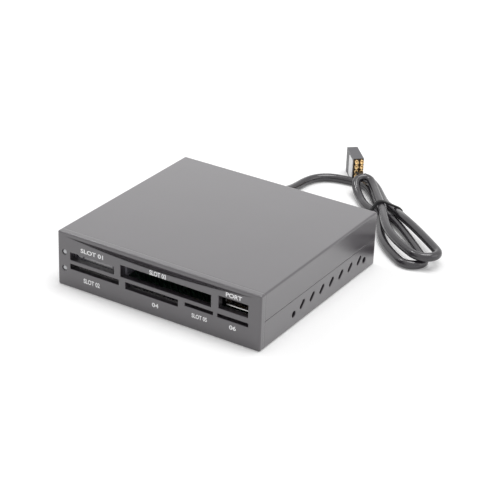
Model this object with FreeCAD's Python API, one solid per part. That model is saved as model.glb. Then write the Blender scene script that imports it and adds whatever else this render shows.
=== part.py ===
import FreeCAD, Part
import math
import os
from dataclasses import dataclass

from FreeCAD import Vector

# Internal card reader for a slim front bay: X runs across the front, Y to the rear, Z up.
# The origin is at the middle of the underside. All sizes are in millimetres.

# Housing: the margins around the mouths bring it to the 101.6 x 25.4 mm of a slim bay
TOP_MARGIN = 5.75
LEFT_MARGIN = 6.45
RIGHT_MARGIN = 5.75
WALL = 1.8
BEZEL_THICK = 3.0
EDGE_RADIUS = 0.8
FRONT_EDGE_RADIUS = 0.7
SEAM_HEIGHT = 12.7
SEAM_GAP = 0.2
LIP_HEIGHT = 1.6
LIP_CLEAR = 0.1
TONGUE_THICK = 1.4
TONGUE_REACH = 4.0
TONGUE_CLEAR = 0.15
TONGUE_END_GAP = 5.0

# Side mounting holes and slanted vents
HOLE_RADIUS = 1.5
HOLE_SETBACK = 26.2
HOLE_SPACING = 60.0
HOLE_REAR_MARGIN = 9.8
HOLE_HEIGHT = 5.8
HOLE_BOSS_RADIUS = 2.7
HOLE_BOSS_DEPTH = 2.8
VENT_COUNT = 7
VENT_FRONT_GAP = 6.8
VENT_REAR_GAP = 4.7
VENT_HEIGHT = 7.6
VENT_LENGTH = 2.65
VENT_WIDTH = 2.1
VENT_ANGLE = 45.0

# Crescent recess above the mouths
BROW_TOP = 1.7
BROW_DROP = 2.5
BROW_END_GAP = 4.0
BROW_DEPTH = 1.5

# Circuit board
BOARD_THICK = 1.6
BOARD_UNDERSIDE = 11.5
PARTS_ROOM = 26.5
PART_GAP = 2.0
BOARD_SIDE_CLEAR = 0.5
SOCKET_SETBACK = 0.3

# Card sockets: card width, extra width of the mouth, height of the card space, depth
STICK_CARD = 21.5
STICK_SPARE = 1.5
STICK_GAP = 3.3
STICK_DEPTH = 27.0
SQUARE_CARD = 24.0
SQUARE_SPARE = 1.4
SQUARE_GAP = 2.15
SQUARE_DEPTH = 28.5
LARGE_CARD = 42.8
LARGE_SPARE = 2.4
LARGE_GAP = 5.2
LARGE_DEPTH = 36.0
THIN_CARD = 25.0
THIN_SPARE = 1.6
THIN_GAP = 2.85
THIN_DEPTH = 24.0
TINY_CARD = 11.0
TINY_SPARE = 2.9
TINY_GAP = 1.3
TINY_DEPTH = 16.0
SHORT_CARD = 12.5
SHORT_SPARE = 2.4
SHORT_GAP = 1.4
SHORT_DEPTH = 17.5
UPPER_RIB = 3.2
PORT_RIB = 3.55
LOWER_RIB = 3.3
LAST_RIB = 2.0
CARD_CLEAR = 0.15
MOUTH_CLEAR = 0.2
SOCKET_FLOOR = 0.25
SOCKET_BLOCK = 4.5
SHEET = 0.2
WINDOW_LENGTH = 5.0
WINDOW_MARGIN = 3.0

# Spring contacts
STICK_CONTACTS = 10
STICK_PITCH = 1.7
SQUARE_CONTACTS = 9
SQUARE_PITCH = 2.5
THIN_CONTACTS = 18
THIN_PITCH = 1.2
TINY_CONTACTS = 8
TINY_PITCH = 1.1
SHORT_CONTACTS = 11
SHORT_PITCH = 1.0
CONTACT_WIDTH = 0.6
CONTACT_THICK = 0.15
CONTACT_REACH = 6.0
CONTACT_TIP = 1.0
CONTACT_TIP_LIFT = 0.2
CONTACT_LIFT = 0.45
CONTACT_SLOPE = 0.4
CONTACT_FOOT = 0.7

# Large socket: 25 pins in each of two rows
PIN_COLUMNS = 25
PIN_PITCH = 1.27
PIN_SIZE = 0.45
PIN_REACH = 5.0
PIN_BLOCK = 6.0
PIN_TAIL = 0.9
LEDGE = 0.7

# Data port
PORT_WIDTH = 13.1
PORT_HEIGHT = 5.7
PORT_DEPTH = 14.0
PORT_SHEET = 0.3
PORT_LEAD_IN = 0.13
PORT_CORNER = 0.6
PORT_LIFT = 0.85
PORT_SETBACK = 1.5
PORT_SIDE_CLEAR = 0.55
PORT_RISE_CLEAR = 0.05
PORT_BLOCK = 3.5
BLADE_SIDE = 0.7
BLADE_HEIGHT = 1.84
BLADE_SETBACK = 1.0
PORT_CONTACT_WIDTH = 1.0
PORT_CONTACT_THICK = 0.2
PORT_CONTACT_OUTER = 3.5
PORT_CONTACT_INNER = 1.0
SPRING_OFFSET = 2.5
SPRING_WIDTH = 1.6
SPRING_LENGTH = 4.5
SPRING_RISE = 0.45
LEG_WIDTH = 2.4
LEG_END_GAP = 2.0

# Indicator lamps
LAMP_SIDE_GAP = 0.2
LAMP_RADIUS = 1.2
LAMP_DOME = 0.6
LAMP_RISE = 3.0
LAMP_CLEAR = 0.1
LAMP_RECESS = 0.1
LAMP_FLANGE = 0.3
LAMP_FLANGE_THICK = 0.8
LEAD_SIZE = 0.4
LEAD_SPREAD = 0.6
LEAD_REACH = 1.2

# Screws, posts and bosses
SCREW_RADIUS = 1.4
SCREW_CLEAR = 0.2
PILOT_CLEAR = 0.05
SCREW_HEAD_RADIUS = 2.6
SCREW_HEAD_HEIGHT = 1.8
SCREW_HEAD_BEVEL = 0.6
SCREW_SEAT = 4.2
SCREW_BITE = 7.0
SCREW_SPARE = 1.0
HEAD_CLEAR = 0.3
DRIVE_WIDTH = 0.7
DRIVE_LENGTH = 2.8
DRIVE_DEPTH = 0.9
POST_RADIUS = 4.2
BOSS_RADIUS = 3.2
POST_INSET = 5.2
POST_SETBACK = 50.0
REAR_POST_INSET = 13.0
REAR_POST_GAP = 8.5
BOARD_SCREW_RADIUS = 1.1
BOARD_SCREW_LENGTH = 6.0
BOARD_SCREW_INSET = 6.0
STANDOFF_RADIUS = 2.8

# Parts on the board, in a row from the lead's connector and set off from the board's rear edge
CHIP_SIZE = 10.0
CHIP_THICK = 1.4
CHIP_BEVEL = 0.3
CHIP_STANDOFF = 0.1
CHIP_REAR_GAP = 6.5
LEG_COUNT = 10
LEG_PITCH = 0.8
LEG_SIZE = 0.35
LEG_THICK = 0.2
LEG_REACH = 1.0
CRYSTAL_LENGTH = 11.0
CRYSTAL_WIDTH = 4.6
CRYSTAL_HEIGHT = 3.6
CAN_RADIUS = 2.5
CAN_HEIGHT = 5.8
CAN_BASE = 0.8
CAN_GAP = 2.0
REGULATOR_LENGTH = 6.5
REGULATOR_WIDTH = 3.5
REGULATOR_HEIGHT = 1.7
REGULATOR_REAR_GAP = 1.0
REGULATOR_TAB = 1.5
REGULATOR_TAB_WIDTH = 3.0
REGULATOR_TAB_THICK = 0.3
CHIPLET_LENGTH = 2.0
CHIPLET_WIDTH = 1.25
CHIPLET_HEIGHT = 0.7
CHIPLET_COUNT = 6
CHIPLET_GAP = 0.6
CHIPLET_SETBACK = 1.6

# Lead inside the housing, its board connector and its grommet
LEAD_X = -17.0
LEAD_RADIUS = 2.0
WIRE_RADIUS = 0.5
WIRE_COUNT = 5
WIRE_RING = 1.2
WIRE_PITCH = 2.5
SHELL_SIDE = 1.2
SHELL_HEIGHT = 5.8
SHELL_DEPTH = 8.0
SHELL_WALL = 0.9
SHELL_BACK = 2.0
PLUG_CLEAR = 0.1
PLUG_PROUD = 3.0
BOARD_PIN_SIZE = 0.6
BOARD_PIN_REACH = 4.0
INNER_LEAD = 8.0
GROMMET_NECK = 3.0
GROMMET_FLANGE = 4.2
GROMMET_RIM = 1.2
GROMMET_CLEAR = 0.1
LEAD_CLEAR = 0.05

# Free lead behind the housing: hand-chosen points, after its straight start, to the hank
LEAD_STRAIGHT = 7.3
LEAD_ROUTE = [
    (-17.2, 66.0, 10.6),
    (-17.35, 76.0, 6.3),
    (-17.2, 86.0, 2.9),
    (-16.9, 94.0, 2.0),
    (-16.6, 101.5, 2.0),
    (-14.3, 108.5, 2.0),
    (-9.0, 113.2, 2.0),
    (-2.2, 114.6, 2.0),
    (2.4, 114.3, 2.0),
    (6.5, 113.0, 2.0),
]

# Tied hank: its own axes run along the hank from the tie, and across it
TIE_X = 33.0
TIE_Y = 92.5
HANK_ANGLE = -38.9
HANK_HEIGHT = 8.4
NECK_LEFT = -4.8
NECK_RIGHT = 6.1
NECK_LENGTH = 12.0
NECK_HEIGHT = 8.0
NECK_CORNER = 3.0
LOBE_LEFT = (44.0, -17.0)
LOBE_TIP = (60.5, -4.5)
LOBE_RIGHT = (43.0, 9.6)
TAIL_LEFT = (-18.0, -8.2)
TAIL_END_LEFT = -5.0
TAIL_RIGHT = 6.8
ARCH_END = -36.5
ARCH_FLOOR = 4.2
ARCH_TOP = 10.8
ARCH_LEFT = -4.0
ARCH_START = -24.0
TIE_THICK = 1.1
TIE_WIDTH = 1.8
TIE_HEAD_LENGTH = 3.6
TIE_HEAD_WIDTH = 3.0
TIE_HEAD_PROUD = 2.4
TIE_HEAD_FOOT = 2.2

# Header plug on the end of the lead, on its narrow edge
PLUG_PITCH = 2.54
PLUG_ROWS = 2
PLUG_WAYS = 5
PLUG_LENGTH = 14.2
PLUG_SPARE = 0.05
PLUG_END = (-40.4, 1.9)
PLUG_TURN = -9.2
CAVITY = 1.9
CAVITY_DEPTH = 8.0
SOCKET_HOLE = 0.9
CRIMP = 1.7
CRIMP_REACH = 5.0
CRIMP_PROUD = 2.0
PLUG_WIRE_RADIUS = 0.35
PLUG_WIRE_RING = 1.2
PLUG_WIRE_LEVEL = 8.0

# Levels and places that follow from the sizes above
BOARD_TOP = BOARD_UNDERSIDE + BOARD_THICK
STICK_MOUTH = STICK_CARD + STICK_SPARE
SQUARE_MOUTH = SQUARE_CARD + SQUARE_SPARE
LARGE_MOUTH = LARGE_CARD + LARGE_SPARE
THIN_MOUTH = THIN_CARD + THIN_SPARE
TINY_MOUTH = TINY_CARD + TINY_SPARE
SHORT_MOUTH = SHORT_CARD + SHORT_SPARE
PORT_MOUTH = PORT_WIDTH + 2 * PORT_SIDE_CLEAR
UPPER_ROW = STICK_MOUTH + UPPER_RIB + LARGE_MOUTH + PORT_RIB + PORT_MOUTH
LOWER_ROW = SQUARE_MOUTH + THIN_MOUTH + TINY_MOUTH + SHORT_MOUTH + 2 * LOWER_RIB + LAST_RIB
WIDTH = LEFT_MARGIN + max(UPPER_ROW, LOWER_ROW) + RIGHT_MARGIN
DEPTH = HOLE_SETBACK + HOLE_SPACING + HOLE_REAR_MARGIN
HALF = WIDTH / 2
FRONT = -DEPTH / 2
REAR = DEPTH / 2
BEZEL_BACK = FRONT + BEZEL_THICK
SOCKET_FRONT = BEZEL_BACK + SOCKET_SETBACK
BOARD_REAR = SOCKET_FRONT + LARGE_DEPTH + PARTS_ROOM
FIRST_MOUTH = -HALF + LEFT_MARGIN
LARGE_LEFT = FIRST_MOUTH + STICK_MOUTH + UPPER_RIB
PORT_LEFT = LARGE_LEFT + LARGE_MOUTH + PORT_RIB
THIN_LEFT = FIRST_MOUTH + SQUARE_MOUTH + LOWER_RIB
TINY_LEFT = THIN_LEFT + THIN_MOUTH + LOWER_RIB
SHORT_LEFT = TINY_LEFT + TINY_MOUTH + LAST_RIB
PORT_X = PORT_LEFT + PORT_MOUTH / 2
PORT_FRONT = BEZEL_BACK + PORT_SETBACK
PORT_FLOOR = BOARD_TOP + PORT_LIFT
PORT_TOP = PORT_FLOOR + PORT_HEIGHT
HEIGHT = PORT_TOP + TOP_MARGIN
SEAM_LOW = SEAM_HEIGHT - SEAM_GAP / 2
SEAM_HIGH = SEAM_HEIGHT + SEAM_GAP / 2
INNER = HALF - WALL
CEILING = HEIGHT - WALL
LAMP_X = -INNER + LAMP_SIDE_GAP + LAMP_FLANGE + LAMP_RADIUS
LAMP_LEVELS = (BOARD_TOP + LAMP_RISE, BOARD_UNDERSIDE - LAMP_RISE)
POST_X = INNER - POST_INSET
POST_Y = FRONT + POST_SETBACK
REAR_POST_X = INNER - REAR_POST_INSET
REAR_POST_Y = REAR - REAR_POST_GAP
BOARD_SCREW_Y = BOARD_REAR - BOARD_SCREW_INSET
HOLE_YS = (FRONT + HOLE_SETBACK, FRONT + HOLE_SETBACK + HOLE_SPACING)
CONNECTOR_HALF = WIRE_COUNT * WIRE_PITCH / 2 + SHELL_SIDE
LEFT_SCREW_X = LEAD_X - CONNECTOR_HALF - PART_GAP - SCREW_HEAD_RADIUS
REGULATOR_X = LEFT_SCREW_X - SCREW_HEAD_RADIUS - PART_GAP - REGULATOR_LENGTH / 2
CRYSTAL_X = LEAD_X + CONNECTOR_HALF + PART_GAP + CRYSTAL_LENGTH / 2
CHIP_X = CRYSTAL_X + CRYSTAL_LENGTH / 2 + PART_GAP + LEG_REACH + CHIP_SIZE / 2
CHIP_Y = BOARD_REAR - CHIP_REAR_GAP - CHIP_SIZE / 2
RIGHT_SCREW_X = CHIP_X + CHIP_SIZE / 2 + LEG_REACH + PART_GAP + SCREW_HEAD_RADIUS
CAN_X = RIGHT_SCREW_X + SCREW_HEAD_RADIUS + PART_GAP + CAN_RADIUS
GROMMET_OUTER = REAR + GROMMET_RIM
GROMMET_INNER = REAR - WALL - GROMMET_RIM
PLUG_HEIGHT = PLUG_WAYS * PLUG_PITCH + 2 * PLUG_SPARE
PLUG_THICK = PLUG_ROWS * PLUG_PITCH + 2 * PLUG_SPARE
OVER = 1.0


@dataclass
class Socket:
    """A card socket on one face of the board, with its place and its contacts."""

    name: str
    left: float
    card: float
    mouth: float
    gap: float
    depth: float
    contacts: int
    pitch: float
    above: bool

    def level(self, height):
        """Height over the board's face, as a level in the housing."""
        return BOARD_TOP + height if self.above else BOARD_UNDERSIDE - height

    def span(self, low, high):
        return sorted((self.level(low), self.level(high)))

    def middle(self):
        return self.left + self.mouth / 2

    def rear(self):
        return SOCKET_FRONT + self.depth

    def opening(self):
        """The mouth in the bezel, as X and Z ranges."""
        low = SOCKET_FLOOR - MOUTH_CLEAR
        high = SOCKET_FLOOR + self.gap + MOUTH_CLEAR
        return (self.left, self.left + self.mouth), self.span(low, high)


STICK = Socket(
    "stick", FIRST_MOUTH, STICK_CARD, STICK_MOUTH, STICK_GAP, STICK_DEPTH, STICK_CONTACTS, STICK_PITCH, True
)
SQUARE = Socket(
    "square", FIRST_MOUTH, SQUARE_CARD, SQUARE_MOUTH, SQUARE_GAP, SQUARE_DEPTH, SQUARE_CONTACTS,
    SQUARE_PITCH, False
)
LARGE = Socket(
    "large", LARGE_LEFT, LARGE_CARD, LARGE_MOUTH, LARGE_GAP, LARGE_DEPTH, PIN_COLUMNS, PIN_PITCH, True
)
THIN = Socket(
    "thin", THIN_LEFT, THIN_CARD, THIN_MOUTH, THIN_GAP, THIN_DEPTH, THIN_CONTACTS, THIN_PITCH, False
)
TINY = Socket(
    "tiny", TINY_LEFT, TINY_CARD, TINY_MOUTH, TINY_GAP, TINY_DEPTH, TINY_CONTACTS, TINY_PITCH, False
)
SHORT = Socket(
    "short", SHORT_LEFT, SHORT_CARD, SHORT_MOUTH, SHORT_GAP, SHORT_DEPTH, SHORT_CONTACTS, SHORT_PITCH, False
)
SLIM_SOCKETS = (STICK, SQUARE, THIN, TINY, SHORT)


def block(x, y, z):
    """Box between pairs of X, Y and Z."""
    return Part.makeBox(x[1] - x[0], y[1] - y[0], z[1] - z[0], Vector(x[0], y[0], z[0]))


def prism(points, push):
    """Closed outline of points, pushed along a vector."""
    corners = [Vector(*p) for p in points]
    return Part.Face(Part.makePolygon(corners + corners[:1])).extrude(Vector(*push))


def rod(start, end, radius):
    axis = Vector(*end) - Vector(*start)
    return Part.makeCylinder(radius, axis.Length, Vector(*start), axis)


def turned(profile, x, z):
    """Outline of (radius, Y) points, turned about an axis along Y."""
    outline = [Vector(x + r, y, z) for r, y in profile]
    face = Part.Face(Part.makePolygon(outline + outline[:1]))
    return face.revolve(Vector(x, 0, z), Vector(0, 1, 0), 360)


def spread(count, pitch):
    """Places of a row that is centred on zero."""
    return [pitch * (i - (count - 1) / 2) for i in range(count)]


def joined(solids):
    return solids[0].multiFuse(solids[1:]).removeSplitter()


def save(name, shape):
    shape.exportStep(f"parts/{name}.step")


def edges_where(shape, test):
    return [e for e in shape.Edges if all(test(v.Point) for v in e.Vertexes)]


def brow():
    """Crescent recess: straight on top, an arc below, and a floor that leans out towards the top."""
    top = HEIGHT - BROW_TOP
    reach = HALF - BROW_END_GAP
    left = Vector(-reach, FRONT - OVER, top)
    right = Vector(reach, FRONT - OVER, top)
    dip = Vector(0, FRONT - OVER, top - BROW_DROP)
    crescent = Part.Wire([Part.LineSegment(left, right).toShape(), Part.Arc(right, dip, left).toShape()])
    crescent = Part.Face(crescent).extrude(Vector(0, OVER + BROW_DEPTH, 0))
    wedge = prism(
        [
            (-HALF, FRONT - OVER, top),
            (-HALF, FRONT, top),
            (-HALF, FRONT + BROW_DEPTH, top - BROW_DROP),
            (-HALF, FRONT - OVER, top - BROW_DROP),
        ],
        (WIDTH, 0, 0),
    )
    return crescent.common(wedge)


def front_bezel():
    plate = block((-HALF, HALF), (FRONT, BEZEL_BACK), (0, HEIGHT))
    long_edges = edges_where(plate, lambda p: abs(abs(p.x) - HALF) < 1e-6)
    long_edges = [e for e in long_edges if abs(e.tangentAt(e.FirstParameter).y) > 0.5]
    plate = plate.makeFillet(EDGE_RADIUS, long_edges)
    plate = plate.makeFillet(FRONT_EDGE_RADIUS, edges_where(plate, lambda p: abs(p.y - FRONT) < 1e-6))
    tongue_x = (-INNER + TONGUE_END_GAP, INNER - TONGUE_END_GAP)
    tongue_y = (BEZEL_BACK, BEZEL_BACK + TONGUE_REACH)
    lower = block(tongue_x, tongue_y, (WALL + TONGUE_CLEAR, WALL + TONGUE_CLEAR + TONGUE_THICK))
    top = CEILING - TONGUE_CLEAR
    upper = block(tongue_x, tongue_y, (top - TONGUE_THICK, top))
    bezel = joined([plate, lower, upper])
    through = (FRONT - OVER, BEZEL_BACK + OVER)
    cuts = [brow()]
    for socket in (*SLIM_SOCKETS, LARGE):
        across, up = socket.opening()
        cuts.append(block(across, through, up))
    port_up = (PORT_FLOOR - PORT_RISE_CLEAR, PORT_TOP + PORT_RISE_CLEAR)
    cuts.append(block((PORT_LEFT, PORT_LEFT + PORT_MOUTH), through, port_up))
    for level in LAMP_LEVELS:
        start = (LAMP_X, through[0], level)
        cuts.append(rod(start, (LAMP_X, through[1], level), LAMP_RADIUS + LAMP_CLEAR))
    return bezel.cut(cuts)


def rounded_half(low, high, bottom):
    """Outer block of the tray or the cover, rounded along its free edges and its rear corners."""
    body = block((-HALF, HALF), (BEZEL_BACK, REAR), (low, high))
    face = low if bottom else high
    sides = edges_where(body, lambda p: abs(p.z - face) < 1e-6)
    sides = [e for e in sides if e.BoundBox.YMax > BEZEL_BACK + 1e-6]
    corners = edges_where(body, lambda p: abs(p.y - REAR) < 1e-6)
    corners = [e for e in corners if e.BoundBox.ZLength > 1e-6]
    return body.makeFillet(EDGE_RADIUS, sides + corners)


def lip(inset, clear):
    """Tongue that stands on the inner half of the tray's walls, or the room for it in the cover."""
    outer = HALF - inset + clear
    low = SEAM_LOW - clear
    high = SEAM_LOW + LIP_HEIGHT + clear
    ring = block((-outer, outer), (BEZEL_BACK, REAR - inset + clear), (low, high))
    return ring.cut(block((-INNER, INNER), (BEZEL_BACK - OVER, REAR - WALL), (low - OVER, high + OVER)))


def vent_slot(y):
    """Slanted slot with round ends, on the right side."""
    run = VENT_LENGTH / 2
    radius = VENT_WIDTH / 2
    through = (INNER - OVER, HALF + OVER)
    middle = block(through, (-run, run), (-radius, radius))
    ends = [rod((through[0], y, 0), (through[1], y, 0), radius) for y in (-run, run)]
    slot = joined([middle, *ends])
    slot.rotate(Vector(0, 0, 0), Vector(1, 0, 0), VENT_ANGLE)
    slot.translate(Vector(0, y, VENT_HEIGHT))
    return slot


def mirrored(shape):
    return shape.mirror(Vector(0, 0, 0), Vector(1, 0, 0))


def exit_hole():
    """Round hole for the grommet, half in the tray and half in the cover."""
    start = (LEAD_X, REAR - WALL - OVER, SEAM_HEIGHT)
    return rod(start, (LEAD_X, REAR + OVER, SEAM_HEIGHT), GROMMET_NECK + GROMMET_CLEAR)


def case_screw_places():
    """X, Y, the top of the tray's post and the foot of the cover's boss."""
    for side in (-1, 1):
        yield side * POST_X, POST_Y, BOARD_UNDERSIDE, BOARD_TOP
        yield side * REAR_POST_X, REAR_POST_Y, SEAM_HEIGHT, SEAM_HEIGHT


def bottom_tray():
    tray = rounded_half(0, SEAM_LOW, True)
    tray = tray.cut(block((-INNER, INNER), (BEZEL_BACK - OVER, REAR - WALL), (WALL, SEAM_LOW + OVER)))
    adds = [lip(WALL / 2 + LIP_CLEAR / 2, 0)]
    cuts = [exit_hole()]
    for x, y, top, _ in case_screw_places():
        adds.append(rod((x, y, WALL / 2), (x, y, top), POST_RADIUS))
        cuts.append(rod((x, y, -OVER), (x, y, SCREW_SEAT), SCREW_HEAD_RADIUS + HEAD_CLEAR))
        cuts.append(rod((x, y, 0), (x, y, top + OVER), SCREW_RADIUS + SCREW_CLEAR))
    for x in (LEFT_SCREW_X, RIGHT_SCREW_X):
        adds.append(rod((x, BOARD_SCREW_Y, WALL / 2), (x, BOARD_SCREW_Y, BOARD_UNDERSIDE), STANDOFF_RADIUS))
        foot = BOARD_TOP - BOARD_SCREW_LENGTH - SCREW_SPARE
        pilot = BOARD_SCREW_RADIUS + PILOT_CLEAR
        cuts.append(rod((x, BOARD_SCREW_Y, foot), (x, BOARD_SCREW_Y, BOARD_TOP), pilot))
    inside = INNER - HOLE_BOSS_DEPTH
    for y in HOLE_YS:
        boss = rod((inside, y, HOLE_HEIGHT), (HALF - WALL / 2, y, HOLE_HEIGHT), HOLE_BOSS_RADIUS)
        hole = rod((inside - OVER, y, HOLE_HEIGHT), (HALF + OVER, y, HOLE_HEIGHT), HOLE_RADIUS)
        adds += [boss, mirrored(boss)]
        cuts += [hole, mirrored(hole)]
    first = HOLE_YS[0] + VENT_FRONT_GAP
    pitch = (HOLE_SPACING - VENT_FRONT_GAP - VENT_REAR_GAP) / (VENT_COUNT - 1)
    for i in range(VENT_COUNT):
        slot = vent_slot(first + pitch * i)
        cuts += [slot, mirrored(slot)]
    return joined([tray, *adds]).cut(cuts)


def top_cover():
    cover = rounded_half(SEAM_HIGH, HEIGHT, False)
    cover = cover.cut(block((-INNER, INNER), (BEZEL_BACK - OVER, REAR - WALL), (SEAM_HIGH - OVER, CEILING)))
    adds = []
    cuts = [lip(WALL / 2 - LIP_CLEAR / 2, 0).fuse(lip(WALL / 2 - LIP_CLEAR / 2, LIP_CLEAR)), exit_hole()]
    for x, y, _, foot in case_screw_places():
        adds.append(rod((x, y, foot), (x, y, CEILING + WALL / 2), BOSS_RADIUS))
        depth = SCREW_BITE + SCREW_SPARE
        cuts.append(rod((x, y, foot - OVER), (x, y, foot + depth), SCREW_RADIUS + PILOT_CLEAR))
    return joined([cover, *adds]).cut(cuts)


def main_board():
    edge = INNER - BOARD_SIDE_CLEAR
    board = block((-edge, edge), (SOCKET_FRONT, BOARD_REAR), (BOARD_UNDERSIDE, BOARD_TOP))
    holes = [(x, POST_Y, SCREW_RADIUS + SCREW_CLEAR) for x in (-POST_X, POST_X)]
    holes += [(x, BOARD_SCREW_Y, BOARD_SCREW_RADIUS + SCREW_CLEAR) for x in (LEFT_SCREW_X, RIGHT_SCREW_X)]
    return board.cut([rod((x, y, BOARD_UNDERSIDE - OVER), (x, y, BOARD_TOP + OVER), r) for x, y, r in holes])


def screw(seat, radius, length, up):
    """Pan-head screw with a cross recess; its head lies on the far side of the seat from its shank."""
    x, y, z = seat
    head = rod((x, y, z - up * SCREW_HEAD_HEIGHT), (x, y, z), SCREW_HEAD_RADIUS)
    rim = edges_where(head, lambda p: abs(p.z - (z - up * SCREW_HEAD_HEIGHT)) < 1e-6)
    head = head.makeChamfer(SCREW_HEAD_BEVEL, rim)
    shank = rod((x, y, z), (x, y, z + up * length), radius)
    face = z - up * SCREW_HEAD_HEIGHT
    deep = sorted((face - up * OVER, face + up * DRIVE_DEPTH))
    wide = (-DRIVE_WIDTH / 2, DRIVE_WIDTH / 2)
    long = (-DRIVE_LENGTH / 2, DRIVE_LENGTH / 2)
    slots = [block(wide, long, deep), block(long, wide, deep)]
    for slot in slots:
        slot.translate(Vector(x, y, 0))
    return joined([head, shank]).cut(slots)


def case_screws():
    return [screw((x, y, SCREW_SEAT), SCREW_RADIUS, foot + SCREW_BITE - SCREW_SEAT, 1)
            for x, y, _, foot in case_screw_places()]


def board_screws():
    return [screw((x, BOARD_SCREW_Y, BOARD_TOP), BOARD_SCREW_RADIUS, BOARD_SCREW_LENGTH, -1)
            for x in (LEFT_SCREW_X, RIGHT_SCREW_X)]


def bent_strip(line, x, width, thick):
    """Strip of even thickness along a line of (Y, Z) points."""
    over = [(x - width / 2, y, z + thick / 2) for y, z in line]
    under = [(x - width / 2, y, z - thick / 2) for y, z in reversed(line)]
    return prism(over + under, (width, 0, 0))


def socket_contacts(socket):
    """Springs that reach forward from the rear block, with tails on the board."""
    block_front = socket.rear() - SOCKET_BLOCK
    run = SOCKET_FLOOR + CONTACT_THICK
    foot = CONTACT_THICK / 2
    tip = block_front - CONTACT_REACH
    bend = socket.rear() + CONTACT_SLOPE
    line = [
        (tip, run + CONTACT_TIP_LIFT),
        (tip + CONTACT_TIP, run + CONTACT_LIFT),
        (block_front, run),
        (socket.rear(), run),
        (bend, foot),
        (bend + CONTACT_FOOT, foot),
    ]
    line = [(y, socket.level(h)) for y, h in line]
    return [bent_strip(line, socket.middle() + x, CONTACT_WIDTH, CONTACT_THICK)
            for x in spread(socket.contacts, socket.pitch)]


def fork(socket, side, stop):
    """Two rails and the rear block between them, as high as the card's space."""
    left, right = socket.left + side, socket.left + socket.mouth - side
    inner_left = socket.middle() - socket.card / 2 - CARD_CLEAR
    inner_right = socket.middle() + socket.card / 2 + CARD_CLEAR
    front, rear = SOCKET_FRONT, socket.rear()
    low, high = socket.span(0, SOCKET_FLOOR + socket.gap)
    outline = [(left, front), (inner_left, front), (inner_left, stop), (inner_right, stop),
               (inner_right, front), (right, front), (right, rear), (left, rear)]
    return prism([(x, y, low) for x, y in outline], (0, 0, high - low))


def socket_base(socket):
    """Moulded tray of a card socket: thin floor, side rails and a rear block that holds the contacts."""
    rails = fork(socket, SHEET, socket.rear() - SOCKET_BLOCK)
    across = (socket.left + SHEET, socket.left + socket.mouth - SHEET)
    floor = block(across, (SOCKET_FRONT, socket.rear()), socket.span(0, SOCKET_FLOOR))
    return joined([rails, floor]).cut(socket_contacts(socket))


def socket_shield(socket):
    """Folded sheet over a card socket, with a window over the contacts."""
    left, right = socket.left, socket.left + socket.mouth
    foot = socket.level(0)
    under = socket.level(SOCKET_FLOOR + socket.gap)
    top = socket.level(SOCKET_FLOOR + socket.gap + SHEET)
    section = [(left, foot), (left, top), (right, top), (right, foot), (right - SHEET, foot),
               (right - SHEET, under), (left + SHEET, under), (left + SHEET, foot)]
    sheet = prism([(x, SOCKET_FRONT, z) for x, z in section], (0, socket.depth, 0))
    end = socket.rear() - SOCKET_BLOCK
    window = block(
        (left + WINDOW_MARGIN, right - WINDOW_MARGIN),
        (end - WINDOW_LENGTH, end),
        sorted((under, socket.level(SOCKET_FLOOR + socket.gap + SHEET + OVER))),
    )
    return sheet.cut(window)


def large_pins():
    """Two rows of square pins through the rear block, turned down to the board behind it."""
    half = PIN_SIZE / 2
    rear = LARGE.rear()
    tip = rear - PIN_BLOCK - PIN_REACH
    middle = SOCKET_FLOOR + LARGE_GAP / 2
    pins = []
    for row, rise in enumerate(spread(2, PIN_PITCH)):
        z = LARGE.level(middle + rise)
        back = rear + PIN_TAIL * (row + 1)
        outline = [(tip, z - half), (tip, z + half), (back, z + half), (back, BOARD_TOP),
                   (back - PIN_SIZE, BOARD_TOP), (back - PIN_SIZE, z - half)]
        for x in spread(PIN_COLUMNS, PIN_PITCH):
            corner = LARGE.middle() + x - half
            pins.append(prism([(corner, y, h) for y, h in outline], (PIN_SIZE, 0, 0)))
    return pins


def large_frame():
    """Guide frame of the large socket: two ledged rails and the block that holds the pins."""
    stop = LARGE.rear() - PIN_BLOCK
    reach = LARGE.card / 2 + CARD_CLEAR
    x = LARGE.middle()
    along = (SOCKET_FRONT, stop)
    up = LARGE.span(0, SOCKET_FLOOR)
    left_ledge = block((x - reach, x - reach + LEDGE), along, up)
    right_ledge = block((x + reach - LEDGE, x + reach), along, up)
    return joined([fork(LARGE, 0, stop), left_ledge, right_ledge]).cut(large_pins())


def port_profile(inset, y, length):
    """Rounded rectangle of the port, pushed along Y."""
    half = PORT_WIDTH / 2 - inset
    shape = block((PORT_X - half, PORT_X + half), (y, y + length), (PORT_FLOOR + inset, PORT_TOP - inset))
    corners = [e for e in shape.Edges if e.BoundBox.YLength > length / 2]
    return shape.makeFillet(PORT_CORNER - inset, corners)


def port_springs():
    """Leaf springs pressed up from the port's floor."""
    start = PORT_FRONT + PORT_SHEET
    face = PORT_FLOOR + PORT_SHEET
    outline = [(start, face), (start + SPRING_LENGTH / 2, face + SPRING_RISE), (start + SPRING_LENGTH, face)]
    lefts = [PORT_X + x - SPRING_WIDTH / 2 for x in (-SPRING_OFFSET, SPRING_OFFSET)]
    return [prism([(left, y, z) for y, z in outline], (SPRING_WIDTH, 0, 0)) for left in lefts]


def port_lead_in():
    """Slanted front end of the port's floor, which guides the plug in."""
    floor, face = PORT_FLOOR, PORT_FLOOR + PORT_SHEET
    outline = [(PORT_FRONT, floor), (PORT_FRONT - OVER, floor), (PORT_FRONT - OVER, face),
               (PORT_FRONT + PORT_LEAD_IN, face)]
    half = PORT_WIDTH / 2 - PORT_CORNER
    return prism([(PORT_X - half, y, z) for y, z in outline], (2 * half, 0, 0))


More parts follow.
